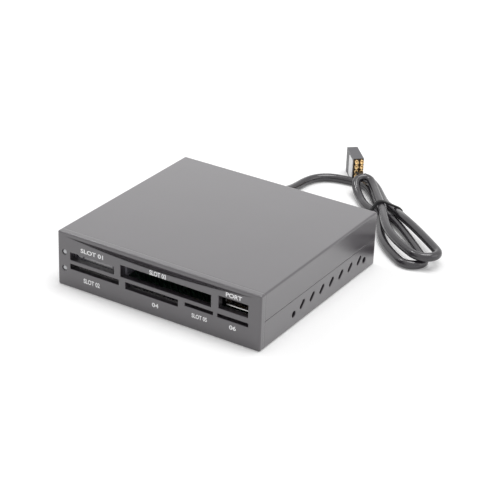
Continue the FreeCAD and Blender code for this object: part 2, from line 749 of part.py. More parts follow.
def port_shell():
    inside = port_profile(PORT_SHEET, PORT_FRONT - OVER, PORT_DEPTH + 2 * OVER)
    tube = port_profile(0, PORT_FRONT, PORT_DEPTH).cut(inside).cut(port_lead_in())
    half = PORT_WIDTH / 2 - PORT_CORNER
    last = PORT_FRONT + PORT_DEPTH - LEG_END_GAP - LEG_WIDTH
    up = (BOARD_TOP, PORT_FLOOR + PORT_SHEET / 2)
    legs = []
    for y in (PORT_FRONT + LEG_END_GAP, last):
        for x in (PORT_X - half, PORT_X + half - PORT_SHEET):
            legs.append(block((x, x + PORT_SHEET), (y, y + LEG_WIDTH), up))
    return joined([tube, *port_springs(), *legs])


def blade_underside():
    return (PORT_FLOOR + PORT_TOP) / 2 + PORT_CONTACT_THICK


def port_insulator():
    """Block that closes the rear of the port, with the blade that carries the contacts."""
    start = PORT_FRONT + PORT_DEPTH - PORT_BLOCK
    body = port_profile(PORT_SHEET, start, PORT_BLOCK)
    low = blade_underside()
    half = PORT_WIDTH / 2 - PORT_SHEET - BLADE_SIDE
    along = (PORT_FRONT + BLADE_SETBACK, start + PORT_BLOCK / 2)
    blade = block((PORT_X - half, PORT_X + half), along, (low, low + BLADE_HEIGHT))
    return joined([body, blade]).cut(port_contacts())


def port_contacts():
    low = blade_underside()
    along = (PORT_FRONT + BLADE_SETBACK, PORT_FRONT + PORT_DEPTH)
    half = PORT_CONTACT_WIDTH / 2
    up = (low - PORT_CONTACT_THICK, low)
    offsets = (-PORT_CONTACT_OUTER, -PORT_CONTACT_INNER, PORT_CONTACT_INNER, PORT_CONTACT_OUTER)
    places = [PORT_X + offset for offset in offsets]
    return [block((x - half, x + half), along, up) for x in places]


def lamp(level):
    """Domed lamp with a collar behind the bezel."""
    tip = FRONT + LAMP_RECESS
    collar = BEZEL_BACK + LAMP_CLEAR
    shoulder = tip + LAMP_DOME
    stem = rod((LAMP_X, shoulder, level), (LAMP_X, collar, level), LAMP_RADIUS)
    ball = (LAMP_RADIUS ** 2 + LAMP_DOME ** 2) / (2 * LAMP_DOME)
    dome = Part.makeSphere(ball, Vector(LAMP_X, tip + ball, level))
    dome = dome.common(rod((LAMP_X, tip - OVER, level), (LAMP_X, shoulder, level), LAMP_RADIUS))
    rim = (LAMP_X, collar + LAMP_FLANGE_THICK, level)
    return joined([stem, dome, rod((LAMP_X, collar, level), rim, LAMP_RADIUS + LAMP_FLANGE)])


def lamp_leads():
    """Square wires from the collars, bent onto the two faces of the board."""
    start = BEZEL_BACK + LAMP_CLEAR + LAMP_FLANGE_THICK
    half = LEAD_SIZE / 2
    leads = []
    for level, face in zip(LAMP_LEVELS, (BOARD_TOP, BOARD_UNDERSIDE)):
        side = 1 if level > face else -1
        bend = start + LEAD_REACH
        outline = [(start, level + side * half), (bend + half, level + side * half), (bend + half, face),
                   (bend - half, face), (bend - half, level - side * half), (start, level - side * half)]
        for x in (-LEAD_SPREAD, LEAD_SPREAD):
            leads.append(prism([(LAMP_X + x - half, y, z) for y, z in outline], (LEAD_SIZE, 0, 0)))
    return leads


def chip_body():
    half = CHIP_SIZE / 2
    low = BOARD_TOP + CHIP_STANDOFF
    body = block((CHIP_X - half, CHIP_X + half), (CHIP_Y - half, CHIP_Y + half), (low, low + CHIP_THICK))
    return body.makeChamfer(CHIP_BEVEL, edges_where(body, lambda p: p.z > low + CHIP_THICK / 2))


def chip_legs():
    """Slanted legs on the four sides of the chip."""
    half = CHIP_SIZE / 2
    rise = BOARD_TOP + CHIP_STANDOFF + CHIP_THICK / 2
    legs = []
    for place in spread(LEG_COUNT, LEG_PITCH):
        outline = [(half, rise), (half, rise - LEG_THICK), (half + LEG_REACH - LEG_THICK, BOARD_TOP),
                   (half + LEG_REACH, BOARD_TOP)]
        leg = prism([(u, place - LEG_SIZE / 2, z) for u, z in outline], (0, LEG_SIZE, 0))
        for turn in range(4):
            copy = leg.copy()
            copy.rotate(Vector(0, 0, 0), Vector(0, 0, 1), 90 * turn)
            copy.translate(Vector(CHIP_X, CHIP_Y, 0))
            legs.append(copy)
    return legs


def crystal():
    """Metal can with round ends."""
    run = (CRYSTAL_LENGTH - CRYSTAL_WIDTH) / 2
    half = CRYSTAL_WIDTH / 2
    top = BOARD_TOP + CRYSTAL_HEIGHT
    middle = block((CRYSTAL_X - run, CRYSTAL_X + run), (CHIP_Y - half, CHIP_Y + half), (BOARD_TOP, top))
    ends = [rod((x, CHIP_Y, BOARD_TOP), (x, CHIP_Y, top), half) for x in (CRYSTAL_X - run, CRYSTAL_X + run)]
    return joined([middle, *ends])


def capacitors():
    """Two can capacitors on square bases."""
    cans = []
    for dy in spread(2, 2 * CAN_RADIUS + CAN_GAP):
        y = CHIP_Y + dy
        foot = BOARD_TOP + CAN_BASE
        across = (CAN_X - CAN_RADIUS, CAN_X + CAN_RADIUS)
        base = block(across, (y - CAN_RADIUS, y + CAN_RADIUS), (BOARD_TOP, foot))
        can = rod((CAN_X, y, foot), (CAN_X, y, BOARD_TOP + CAN_HEIGHT), CAN_RADIUS)
        cans.append(joined([base, can]))
    return cans


def regulator():
    """Small regulator with its cooling tab towards the board's rear edge."""
    rear = BOARD_REAR - REGULATOR_REAR_GAP - REGULATOR_TAB
    half = REGULATOR_LENGTH / 2
    along = (rear - REGULATOR_WIDTH, rear)
    body = block((REGULATOR_X - half, REGULATOR_X + half), along, (BOARD_TOP, BOARD_TOP + REGULATOR_HEIGHT))
    half = REGULATOR_TAB_WIDTH / 2
    along = (rear, rear + REGULATOR_TAB)
    tab = block((REGULATOR_X - half, REGULATOR_X + half), along, (BOARD_TOP, BOARD_TOP + REGULATOR_TAB_THICK))
    return joined([body, tab])


def chip_resistors():
    """Row of small parts along the chip."""
    start = CHIP_Y + CHIP_SIZE / 2 + LEG_REACH + CHIPLET_SETBACK
    along = (start, start + CHIPLET_WIDTH)
    up = (BOARD_TOP, BOARD_TOP + CHIPLET_HEIGHT)
    lefts = [CHIP_X + x - CHIPLET_LENGTH / 2 for x in spread(CHIPLET_COUNT, CHIPLET_LENGTH + CHIPLET_GAP)]
    return [block((left, left + CHIPLET_LENGTH), along, up) for left in lefts]


def board_connector():
    """Shrouded header on the board's rear edge, open to the rear."""
    half = CONNECTOR_HALF
    front = BOARD_REAR - SHELL_DEPTH
    top = BOARD_TOP + SHELL_HEIGHT
    shroud = block((LEAD_X - half, LEAD_X + half), (front, BOARD_REAR), (BOARD_TOP, top))
    across = (LEAD_X - half + SHELL_WALL, LEAD_X + half - SHELL_WALL)
    along = (front + SHELL_BACK, BOARD_REAR + OVER)
    room = block(across, along, (BOARD_TOP + SHELL_WALL, top - SHELL_WALL))
    return shroud.cut(room).cut(connector_pins())


def wire_level():
    return BOARD_TOP + SHELL_HEIGHT / 2


def connector_pins():
    half = BOARD_PIN_SIZE / 2
    front = BOARD_REAR - SHELL_DEPTH
    along = (front, front + SHELL_BACK + BOARD_PIN_REACH)
    up = (wire_level() - half, wire_level() + half)
    return [block((LEAD_X + x - half, LEAD_X + x + half), along, up) for x in spread(WIRE_COUNT, WIRE_PITCH)]


def connector_plug():
    """Plug in the shroud, with a hole on each pin."""
    half = CONNECTOR_HALF - SHELL_WALL - PLUG_CLEAR
    front = BOARD_REAR - SHELL_DEPTH + SHELL_BACK
    up =(BOARD_TOP + SHELL_WALL + PLUG_CLEAR, BOARD_TOP + SHELL_HEIGHT - SHELL_WALL - PLUG_CLEAR)
    plug = block((LEAD_X - half, LEAD_X + half), (front, BOARD_REAR + PLUG_PROUD), up)
    return plug.cut(connector_pins())


def inner_wires():
    """Wires that fan out from the lead's jacket to the plug, and end flat on both."""
    near = BOARD_REAR + PLUG_PROUD
    far = GROMMET_INNER - INNER_LEAD
    room = block((-INNER, INNER), (near, far), (0, HEIGHT))
    turns = [2 * math.pi * i / WIRE_COUNT + math.pi / 2 for i in range(WIRE_COUNT)]
    ring = sorted((WIRE_RING * math.cos(t), WIRE_RING * math.sin(t)) for t in turns)
    wires = []
    for (dx, dz), x in zip(ring, spread(WIRE_COUNT, WIRE_PITCH)):
        start = Vector(LEAD_X + dx, far, SEAM_HEIGHT + dz)
        end = Vector(LEAD_X + x, near, wire_level())
        past = (end - start).normalize() * OVER
        wires.append(rod(start - past, end + past, WIRE_RADIUS).common(room))
    return wires


def inner_lead():
    start = (LEAD_X, GROMMET_INNER - INNER_LEAD, SEAM_HEIGHT)
    return rod(start, (LEAD_X, GROMMET_OUTER, SEAM_HEIGHT), LEAD_RADIUS)


def grommet():
    """Rubber collar in the exit hole, with a rim on both sides of the wall."""
    bore = LEAD_RADIUS + LEAD_CLEAR
    profile = [(bore, GROMMET_INNER), (GROMMET_FLANGE, GROMMET_INNER), (GROMMET_FLANGE, REAR - WALL),
               (GROMMET_NECK, REAR - WALL), (GROMMET_NECK, REAR), (GROMMET_FLANGE, REAR),
               (GROMMET_FLANGE, GROMMET_OUTER), (bore, GROMMET_OUTER)]
    return turned(profile, LEAD_X, SEAM_HEIGHT)


def lead_tube():
    """Tube of straight runs and tangent arcs, each arc as large as its two runs allow."""
    outlet = Vector(LEAD_X, GROMMET_OUTER, SEAM_HEIGHT)
    points = [outlet, outlet + Vector(0, LEAD_STRAIGHT, 0)] + [Vector(*p) for p in LEAD_ROUTE]
    edges, at, radii = [], points[0], []
    for before, corner, after in zip(points, points[1:], points[2:]):
        back, ahead = before - corner, after - corner
        shorter = min(back.Length, ahead.Length)
        turn = math.pi - back.getAngle(ahead)
        back.normalize()
        ahead.normalize()
        reach = 0.45 * shorter
        radius = reach / math.tan(turn / 2)
        radii.append(radius)
        begin, finish = corner + back * reach, corner + ahead * reach
        bisector = back + ahead
        bisector.normalize()
        middle = corner + bisector * (radius / math.cos(turn / 2) - radius)
        edges += [Part.LineSegment(at, begin).toShape(), Part.Arc(begin, middle, finish).toShape()]
        at = finish
    edges.append(Part.LineSegment(at, points[-1]).toShape())
    path = Part.Wire(edges)
    ring = Part.Wire(Part.makeCircle(LEAD_RADIUS, points[0], points[1] - points[0]))
    tube = path.makePipeShell([ring], True, True)
    even = math.pi * LEAD_RADIUS ** 2 * path.Length
    print("lead radii", [round(r, 1) for r in radii], "length", round(path.Length, 1),
          "volume share", round(tube.Volume / even, 4))
    return tube


def on_floor(along, across, z=0.0):
    """Point of the hank's own axes in the part's frame."""
    angle = math.radians(HANK_ANGLE)
    x = TIE_X + along * math.cos(angle) - across * math.sin(angle)
    y = TIE_Y + along * math.sin(angle) + across * math.cos(angle)
    return Vector(x, y, z)


def slab(edges, low, high):
    return Part.Face(Part.Wire(edges)).extrude(Vector(0, 0, high - low))


def lines(points, z):
    corners = [on_floor(*p, z) for p in points]
    return [Part.LineSegment(a, b).toShape() for a, b in zip(corners, corners[1:])]


def neck_section(grow, along, length):
    """Rounded section of the tied strands, pushed along the hank."""
    low, high = NECK_LEFT - grow, NECK_RIGHT + grow
    shape = block((along, along + length), (low, high), (TIE_THICK - grow, TIE_THICK + NECK_HEIGHT + grow))
    corners = [e for e in shape.Edges if e.BoundBox.XLength > length / 2]
    shape = shape.makeFillet(NECK_CORNER + grow, corners)
    shape.rotate(Vector(0, 0, 0), Vector(0, 0, 1), HANK_ANGLE)
    shape.translate(Vector(TIE_X, TIE_Y, 0))
    return shape


def cable_hank():
    """Outer shape of the tied turns: a wide lobe, a neck in the tie and a narrow tail with its arch."""
    side = NECK_LENGTH / 2
    z = 0.0
    tip = Part.Arc(on_floor(*LOBE_LEFT, z), on_floor(*LOBE_TIP, z), on_floor(*LOBE_RIGHT, z)).toShape()
    lobe = lines([(side, NECK_RIGHT), (side, NECK_LEFT), LOBE_LEFT], z) + [tip]
    lobe += lines([LOBE_RIGHT, (side, NECK_RIGHT)], z)
    end = Vector(*LEAD_ROUTE[-1])
    heading = end - Vector(*LEAD_ROUTE[-2])
    across = Vector(-heading.y, heading.x, 0)
    across.normalize()
    axis = on_floor(1, 0) - on_floor(0, 0)
    square = on_floor(0, 1) - on_floor(0, 0)
    offset = Vector(end.x, end.y, 0) - on_floor(0, 0)

    def on_end_face(wanted):
        """Where the end face, square to the lead, reaches a distance across the hank."""
        step = (wanted - offset.dot(square)) / across.dot(square)
        return offset.dot(axis) + step * across.dot(axis), wanted

    tail = [(-side, NECK_LEFT), (-side, NECK_RIGHT), (ARCH_START, TAIL_RIGHT), on_end_face(TAIL_RIGHT),
            on_end_face(TAIL_END_LEFT), TAIL_LEFT, (-side, NECK_LEFT)]
    arch = [(ARCH_START, ARCH_LEFT), (ARCH_START, TAIL_RIGHT), (ARCH_END, TAIL_RIGHT), (ARCH_END, ARCH_LEFT),
            (ARCH_START, ARCH_LEFT)]
    return joined([
        slab(lobe, 0, HANK_HEIGHT),
        neck_section(0, -side, NECK_LENGTH),
        slab(lines(tail, 0.0), 0, HANK_HEIGHT),
        slab(lines(arch, ARCH_FLOOR), ARCH_FLOOR, ARCH_TOP),
    ])


def cable_tie():
    """Band round the neck, with its head on the far side."""
    band = neck_section(TIE_THICK, -TIE_WIDTH / 2, TIE_WIDTH)
    half = TIE_HEAD_WIDTH / 2
    across = (NECK_RIGHT, NECK_RIGHT + TIE_HEAD_PROUD)
    head = block((-half, half), across, (TIE_HEAD_FOOT, TIE_HEAD_FOOT + TIE_HEAD_LENGTH))
    head.rotate(Vector(0, 0, 0), Vector(0, 0, 1), HANK_ANGLE)
    head.translate(Vector(TIE_X, TIE_Y, 0))
    return joined([band, head]).cut(neck_section(0, -TIE_WIDTH, 2 * TIE_WIDTH))


def laid_plug(shape):
    """Moves a piece of the header plug from its own axes to its place at the end of the hank."""
    shape.rotate(Vector(0, 0, 0), Vector(0, 0, 1), HANK_ANGLE + 180 + PLUG_TURN)
    place = on_floor(*PLUG_END)
    shape.translate(place)
    return shape


def plug_places():
    """Y and Z of the ways that hold a contact: all but the first, which is blank."""
    levels = [PLUG_HEIGHT / 2 + z for z in spread(PLUG_WAYS, PLUG_PITCH)]
    places = [(y, z) for z in levels for y in spread(PLUG_ROWS, PLUG_PITCH)]
    return places[1:]


def header_plug():
    """Housing of the plug: a cavity for each contact, and a pin hole at its front."""
    body = block((0, PLUG_LENGTH), (-PLUG_THICK / 2, PLUG_THICK / 2), (0, PLUG_HEIGHT))
    cuts = []
    for y, z in plug_places():
        for size, along in ((CAVITY, (-OVER, CAVITY_DEPTH)), (SOCKET_HOLE, (0, PLUG_LENGTH + OVER))):
            half = size / 2
            cuts.append(block(along, (y - half, y + half), (z - half, z + half)))
    return laid_plug(body.cut(cuts))


def plug_contacts():
    """Crimp barrels, which stand out of the cavities a little."""
    half = CRIMP / 2
    wall = CAVITY / 2
    contacts = []
    for y, z in plug_places():
        barrel = block((-CRIMP_PROUD, CRIMP_REACH), (y - half, y + half), (z - half, z + half))
        seat = block((CRIMP_REACH, CAVITY_DEPTH), (y - wall, y + wall), (z - wall, z + wall))
        contacts.append(laid_plug(joined([barrel, seat])))
    return contacts


def plug_wires():
    """Wires that fan out from the end of the jacket to one column of the crimps, and end flat on both."""
    hank_side = block((ARCH_END - PLUG_LENGTH, ARCH_END), (-PLUG_LENGTH, PLUG_LENGTH), (0, PLUG_LENGTH))
    hank_side.rotate(Vector(0, 0, 0), Vector(0, 0, 1), HANK_ANGLE)
    hank_side.translate(on_floor(0, 0))
    reach = (-PLUG_LENGTH, -CRIMP_PROUD)
    plug_side = laid_plug(block(reach, (-PLUG_LENGTH, PLUG_LENGTH), (0, PLUG_LENGTH)))
    column = [place for place in plug_places() if place[0] > 0]
    turns = [2 * math.pi * i / len(column) - math.pi / 2 for i in range(len(column))]
    ring = sorted((PLUG_WIRE_LEVEL + PLUG_WIRE_RING * math.sin(t), PLUG_WIRE_RING * math.cos(t)) for t in turns)
    wires = []
    for (level, aside), (y, z) in zip(ring, column):
        start = on_floor(ARCH_END, PLUG_END[1] + aside, level)
        end = laid_plug(Part.Vertex(-CRIMP_PROUD, y, z)).Point
        past = (end - start).normalize() * OVER
        wires.append(rod(start - past, end + past, PLUG_WIRE_RADIUS).common(hank_side).common(plug_side))
    return wires


def main():
    os.makedirs("parts", exist_ok=True)
    save("front_bezel", front_bezel())
    save("bottom_tray", bottom_tray())
    save("top_cover", top_cover())
    save("main_board", main_board())
    for socket in SLIM_SOCKETS:
        save(f"{socket.name}_socket_base", socket_base(socket))
        save(f"{socket.name}_socket_shield", socket_shield(socket))
        save(f"{socket.name}_socket_contacts", Part.makeCompound(socket_contacts(socket)))
    save("large_socket_frame", large_frame())
    save("large_socket_pins", Part.makeCompound(large_pins()))
    save("port_shell", port_shell())
    save("port_insulator", port_insulator())
    save("port_contacts", Part.makeCompound(port_contacts()))
    for name, level in zip(("upper_lamp", "lower_lamp"), LAMP_LEVELS):
        save(name, lamp(level))
    save("lamp_leads", Part.makeCompound(lamp_leads()))
    save("controller_chip", chip_body())
    save("chip_legs", Part.makeCompound(chip_legs()))
    save("crystal", crystal())
    save("capacitors", Part.makeCompound(capacitors()))
    save("regulator", regulator())
    save("chip_resistors", Part.makeCompound(chip_resistors()))
    save("board_connector", board_connector())
    save("connector_pins", Part.makeCompound(connector_pins()))
    save("connector_plug", connector_plug())
    save("inner_wires", Part.makeCompound(inner_wires()))
    save("inner_lead", inner_lead())
    save("lead_grommet", grommet())
    save("case_screws", Part.makeCompound(case_screws()))
    save("board_screws", Part.makeCompound(board_screws()))
    save("cable_lead", lead_tube())
    save("cable_hank", cable_hank())
    save("cable_tie", cable_tie())
    save("header_plug", header_plug())
    save("plug_contacts", Part.makeCompound(plug_contacts()))
    save("plug_wires", Part.makeCompound(plug_wires()))
    print("body", round(WIDTH, 2), round(DEPTH, 2), HEIGHT)


main()
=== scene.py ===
"""Looks of the internal card reader: its finishes, printed marks, tied lead, plug and stage."""

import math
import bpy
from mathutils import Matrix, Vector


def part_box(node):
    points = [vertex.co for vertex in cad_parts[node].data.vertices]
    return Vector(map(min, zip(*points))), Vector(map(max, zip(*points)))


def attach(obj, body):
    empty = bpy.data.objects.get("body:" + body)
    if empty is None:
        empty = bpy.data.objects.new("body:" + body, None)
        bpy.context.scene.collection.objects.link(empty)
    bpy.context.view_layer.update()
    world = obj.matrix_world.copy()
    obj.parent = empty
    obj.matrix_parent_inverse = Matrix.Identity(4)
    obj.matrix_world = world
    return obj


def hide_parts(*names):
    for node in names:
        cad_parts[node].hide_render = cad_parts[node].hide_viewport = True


bl_info = {
    "name": "Internal card reader looks",
    "version": (1, 0, 0),
    "blender": (4, 5, 0),
    "location": "3D View > Sidebar > Card reader",
    "description": "Finishes, printed marks, tied lead and stage of an internal card reader",
    "category": "Object",
}

import bmesh
import bpy
from bpy.props import FloatProperty, FloatVectorProperty, PointerProperty
from bpy.types import Operator, Panel, PropertyGroup
from mathutils import Matrix, Vector

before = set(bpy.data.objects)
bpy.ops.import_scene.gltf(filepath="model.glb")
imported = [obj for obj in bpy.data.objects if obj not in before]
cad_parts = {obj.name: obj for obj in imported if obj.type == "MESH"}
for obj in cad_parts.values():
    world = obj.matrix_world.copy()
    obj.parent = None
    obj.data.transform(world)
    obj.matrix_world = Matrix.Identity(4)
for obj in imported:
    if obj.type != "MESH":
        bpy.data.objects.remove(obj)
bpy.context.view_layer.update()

# Depth of the bezel's front face, in metres.
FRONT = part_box("front_bezel")[0][1]

# The sizes and places below are in millimetres and the angles in degrees, unless a comment says
# otherwise.
MM = 0.001

# The five flat sockets, by the mouths that they stand behind.
FLAT_SOCKETS = ("stick", "square", "thin", "tiny", "short")

# Dust flap in the stick mouth: its outline from the front, the depth and level of its foot, how far
# it leans to the rear for each step up, and its thickness.
FLAP = ((-42.2, 13.5), (-22.0, 13.5), (-22.0, 16.3), (-43.8, 16.3), (-43.6, 14.5))
FLAP_FOOT = (-44.2, 13.5)
FLAP_LEAN = 0.3
FLAP_THICKNESS = 0.25

# The flap's two pins, with their depth and level, the middle and size of its bright lip, and the
# places of their materials after the flap's own.
FLAP_PINS = (-40.0, -24.6)
FLAP_PIN_SEAT = (-44.15, 13.95)
FLAP_PIN = {"segments": 20, "radius1": 0.4, "radius2": 0.36, "depth": 0.3}
FLAP_LIP_MIDDLE = (-29.9, -44.34, 13.5)
FLAP_LIP_SIZE = (15.0, 0.28, 0.24)
FLAP_PIN_MATERIAL = 1
FLAP_LIP_MATERIAL = 2

# Printed marks on the bezel: words, then left, right, foot and head.
MARKS = {
    "mark_stick_mouth": ("SLOT 01", -38.7, -27.0, 18.3, 20.3),
    "mark_square_mouth": ("SLOT 02", -37.3, -28.8, 4.3, 6.5),
    "mark_large_mouth": ("SLOT 03", -3.4, 4.9, 18.8, 21.0),
    "mark_thin_mouth": ("04", -2.0, 1.3, 4.2, 6.2),
    "mark_tiny_mouth": ("SLOT 05", 17.8, 25.3, 5.6, 7.6),
    "mark_port": ("PORT", 34.0, 41.7, 20.4, 22.4),
    "mark_short_mouth": ("06", 36.0, 39.3, 6.0, 8.0),
}
INK_HEIGHT = 0.02

# The letters are drawn about one unit high, with this depth to each side and thickened by this much,
# and are then sized to their marks.
LETTER_DEPTH = 1.0
LETTER_WEIGHT = 0.03

# The lead from the grommet to the hank.
LEAD_EXIT = (-17.0, 49.2, 12.7)
LEAD_ROUTE = (
    (-17.0, 56.5, 12.7),
    (-17.2, 66.0, 10.6),
    (-17.35, 76.0, 6.3),
    (-17.2, 86.0, 2.9),
    (-16.9, 94.0, 2.0),
    (-16.6, 101.5, 2.0),
    (-14.3, 108.5, 2.0),
    (-9.0, 113.2, 2.0),
    (-2.2, 114.9, 2.0),
    (2.6, 115.4, 2.0),
    (8.0, 115.0, 2.0),
)

# The hank has axes of its own, along it, across it and up. They start at the foot of the tie, which
# is given in metres.
HANK_FOOT = (0.0330, 0.0925, 0.0)
HANK_HEADING = -38.9
HANK_AXES = Matrix.Translation(HANK_FOOT) @ Matrix.Rotation(math.radians(HANK_HEADING), 4, "Z")

# The strands of the hank between its turns, on the hank's own axes.
STRAND_IN = ((-28.4, 3.0, 2.0), (-20.0, 1.6, 2.0), (-10.0, -0.3, 2.0))
ARCH = (
    (-10.0, -6.4, 2.2),
    (-18.5, -5.4, 2.1),
    (-24.0, -5.0, 3.4),
    (-28.4, -4.3, 5.6),
    (-30.9, -1.9, 6.9),
    (-30.9, 1.3, 7.2),
    (-28.6, 3.3, 6.8),
    (-24.5, 3.0, 6.2),
    (-20.0, 2.1, 5.95),
    (-14.0, 0.7, 5.95),
    (-7.0, -0.9, 5.95),
)
STRAND_OUT = (
    (-10.0, 3.8, 2.1),
    (-20.0, 5.6, 2.0),
    (-27.5, 6.8, 2.3),
    (-33.0, 5.8, 3.6),
    (-36.4, 3.4, 4.7),
)

# The two turns: swing about the tie, bow of the whole turn to one side, levels at its start and its
# end, and the side on which it starts.
LOWER_TURN = {"swing": -8.2, "bow": -2.5, "levels": (2.0, 2.0), "side": 1}
UPPER_TURN = {"swing": -2.0, "bow": -2.1, "levels": (6.4, 5.8), "side": -1}

# Steps along each leg of a turn, and from the end of a leg to the tip.
LEG_STEPS = 3
TIP_STEPS = 3

# Where the four strands cross the tie: across the hank and up.
TIED = {
    "lower_out": (-0.4, 2.0),
    "lower_back": (-4.2, 2.4),
    "upper_out": (-2.2, 5.95),
    "upper_back": (4.0, 3.4),
}

# The tie: steps round it, its slack, the share of its thickness that has upright edges, and the
# chamfer above them.
TIE_STEPS = 96
TIE_SLACK = 0.1
TIE_UPRIGHT = 0.7
TIE_CHAMFER = 0.3

# The tie's head: its size, how far its middle stands off the strap, its level and its round edges.
TIE_HEAD_SIZE = (3.0, 1.8, 2.8)
TIE_HEAD_REACH = 0.3
TIE_HEAD_LEVEL = 1.6
TIE_HEAD_ROUND = 0.3

# The plug's own axes, into it from its rear, across it and up, start at the foot of its rear end,
# which is given in metres on the hank's axes.
PLUG_FOOT = (-0.0404, 0.0019, 0.0)
PLUG_HEADING = 170.8
PLUG_AXES = (
    HANK_AXES
    @ Matrix.Translation(PLUG_FOOT)
    @ Matrix.Rotation(math.radians(PLUG_HEADING), 4, "Z")
)

# The plug's ways, across and up: two columns of five, without the first, which is closed.
COLUMNS = (-1.27, 1.27)
ROWS = (1.32, 3.86, 6.4, 8.94, 11.48)
WAYS = [(across, level) for level in ROWS for across in COLUMNS][1:]

# Profile of a crimped contact, into the plug and out from its middle, its height for each step of
# its width, the number of its sides, and its rear end.
BARREL = (
    (-1.6, 0.02),
    (-1.8, 0.4),
    (-2.0, 0.7),
    (-2.0, 0.92),
    (-1.6, 0.9),
    (-0.8, 0.8),
    (-0.5, 0.7),
    (6.0, 0.7),
)
BARREL_RISE = 1.3
BARREL_SIDES = 20
CRIMP_REAR = -2.0

# The wired ways by column and row, and a wire's distance from the middle of the lead's end, its
# straight start, its bend before the crimp and its end in it.
WIRED = [(COLUMNS[k], ROWS[n]) for k, n in ((1, 0), (1, 1), (1, 2), (0, 2), (0, 1))]
WIRE_CIRCLE = 1.1
WIRE_START = 1.0
WIRE_BEND = 1.4
WIRE_GRIP = 0.5

# The pale label on the plug's side: its middle, its size and its round corners.
LABEL_MIDDLE = (4.6, 2.66, 6.3)
LABEL_SIZE = (7.4, 0.12, 10.6)
LABEL_CORNER = 1.0

# The floor, the lamps and the camera's place are in metres. Each lamp has a place, a width and the
# name of its level.
FLOOR_REACH = 2.0
FLOOR_CELLS = 8
LAMP_AIM = (0.0, 0.02, 0.0)
LAMPS = {
    "overhead_softbox": ((0.15, 0.20, 1.50), 0.85, "overhead"),
    "rear_softbox": ((-0.75, 1.25, 0.42), 0.6, "rear"),
    "left_lamp": ((-0.75, 0.05, 1.10), 0.22, "left"),
    "right_softbox": ((1.10, 0.30, 0.55), 0.9, "right"),
}
CAMERA_SENSOR = 36.0
CAMERA_PLACE = (
    (0.8455, -0.2659, 0.4630, 0.35634),
    (0.5329, 0.3667, -0.7626, -0.56154),
    (0.0330, 0.8915, 0.4518, 0.34860),
    (0.0, 0.0, 0.0, 1.0),
)

# Sockets of the colour Mix node, by number because their names repeat.
MIX_SHARE, MIX_FIRST, MIX_SECOND, MIX_RESULT = 0, 6, 7, 2


def linear(code):
    """Linear red, green, blue and alpha of an sRGB hex colour."""
    parts = [int(code[i : i + 2], 16) / 255 for i in (1, 3, 5)]
    return [v / 12.92 if v <= 0.04045 else ((v + 0.055) / 1.055) ** 2.4 for v in parts] + [1.0]


class ReaderFinish(PropertyGroup):
    """Colours of the reader's main materials."""

    housing: FloatVectorProperty(
        name="Housing",
        description="Moulded housing and bezel",
        subtype="COLOR",
        size=4,
        default=linear("#39343a"),
    )
    jacket: FloatVectorProperty(
        name="Jacket",
        description="Jacket of the lead",
        subtype="COLOR",
        size=4,
        default=linear("#29262b"),
    )
    moulding: FloatVectorProperty(
        name="Moulding",
        description="Moulded bodies of the sockets",
        subtype="COLOR",
        size=4,
        default=linear("#66646b"),
    )
    plug: FloatVectorProperty(
        name="Plug",
        description="Moulded body of the header plug",
        subtype="COLOR",
        size=4,
        default=linear("#3d3c40"),
    )


class ReaderLead(PropertyGroup):
    """Sizes of the lead and of its two tied turns."""

    diameter: FloatProperty(
        name="Diameter",
        description="Outside diameter of the lead",
        unit="LENGTH",
        default=0.004,
        min=0.001,
    )
    length: FloatProperty(
        name="Length",
        description="Length from the grommet to the plug",
        unit="LENGTH",
        default=0.450,
        min=0.1,
    )
    lower_reach: FloatProperty(
        name="Lower reach",
        description="How far the lower turn reaches from the tie",
        unit="LENGTH",
        default=0.0522,
    )
    lower_tip: FloatProperty(
        name="Lower tip",
        description="Radius at the tip of the lower turn",
        unit="LENGTH",
        default=0.0058,
    )
    lower_belly: FloatProperty(
        name="Lower belly",
        description="How far the lower turn's legs swell outwards",
        unit="LENGTH",
        default=0.0021,
    )
    upper_reach: FloatProperty(
        name="Upper reach",
        description="How far the upper turn reaches from the tie",
        unit="LENGTH",
        default=0.0538,
    )
    upper_tip: FloatProperty(
        name="Upper tip",
        description="Radius at the tip of the upper turn",
        unit="LENGTH",
        default=0.0062,
    )
    upper_belly: FloatProperty(
        name="Upper belly",
        description="How far the upper turn's legs swell outwards",
        unit="LENGTH",
        default=0.0022,
    )
    wire: FloatProperty(
        name="Wire",
        description="Diameter of each wire at the plug",
        unit="LENGTH",
        default=0.0007,
    )


class ReaderTie(PropertyGroup):
    """Sizes of the tie round the hank."""

    width: FloatProperty(
        name="Width", description="Width of the strap", unit="LENGTH", default=0.0016
    )
    thickness: FloatProperty(
        name="Thickness", description="Thickness of the strap", unit="LENGTH", default=0.0009
    )
    slant: FloatProperty(
        name="Slant", description="Run along the hank for each step across it", default=0.46
    )


class ReaderStage(PropertyGroup):
    """Levels of the studio's lamps and the lens of the camera."""

    overhead: FloatProperty(
        name="Overhead", description="Power of the overhead softbox", unit="POWER", default=11.4
    )
    rear: FloatProperty(
        name="Rear", description="Power of the softbox behind the left", unit="POWER", default=0.48
    )
    left: FloatProperty(
        name="Left", description="Power of the small lamp at the left", unit="POWER", default=2.4
    )
    right: FloatProperty(
        name="Right", description="Power of the softbox at the right", unit="POWER", default=2.1
    )
    surround: FloatProperty(
        name="Surround", description="Level of the pale room's own light", default=0.48, min=0.0
    )
    paper: FloatProperty(
        name="Paper", description="Extra level at which the floor is seen", default=0.14, min=0.0
    )
    lens: FloatProperty(
        name="Lens", description="Focal length of the camera", unit="CAMERA", default=123.845
    )


def per_mm(size):
    """Texture scale at which one feature is about that many millimetres."""
    return 1.0 / (size * MM)


def shade(colour, factor, lift=0.0):
    """Lighter or darker tone of a linear colour."""
    return [v * factor + lift for v in colour[:3]] + [1.0]


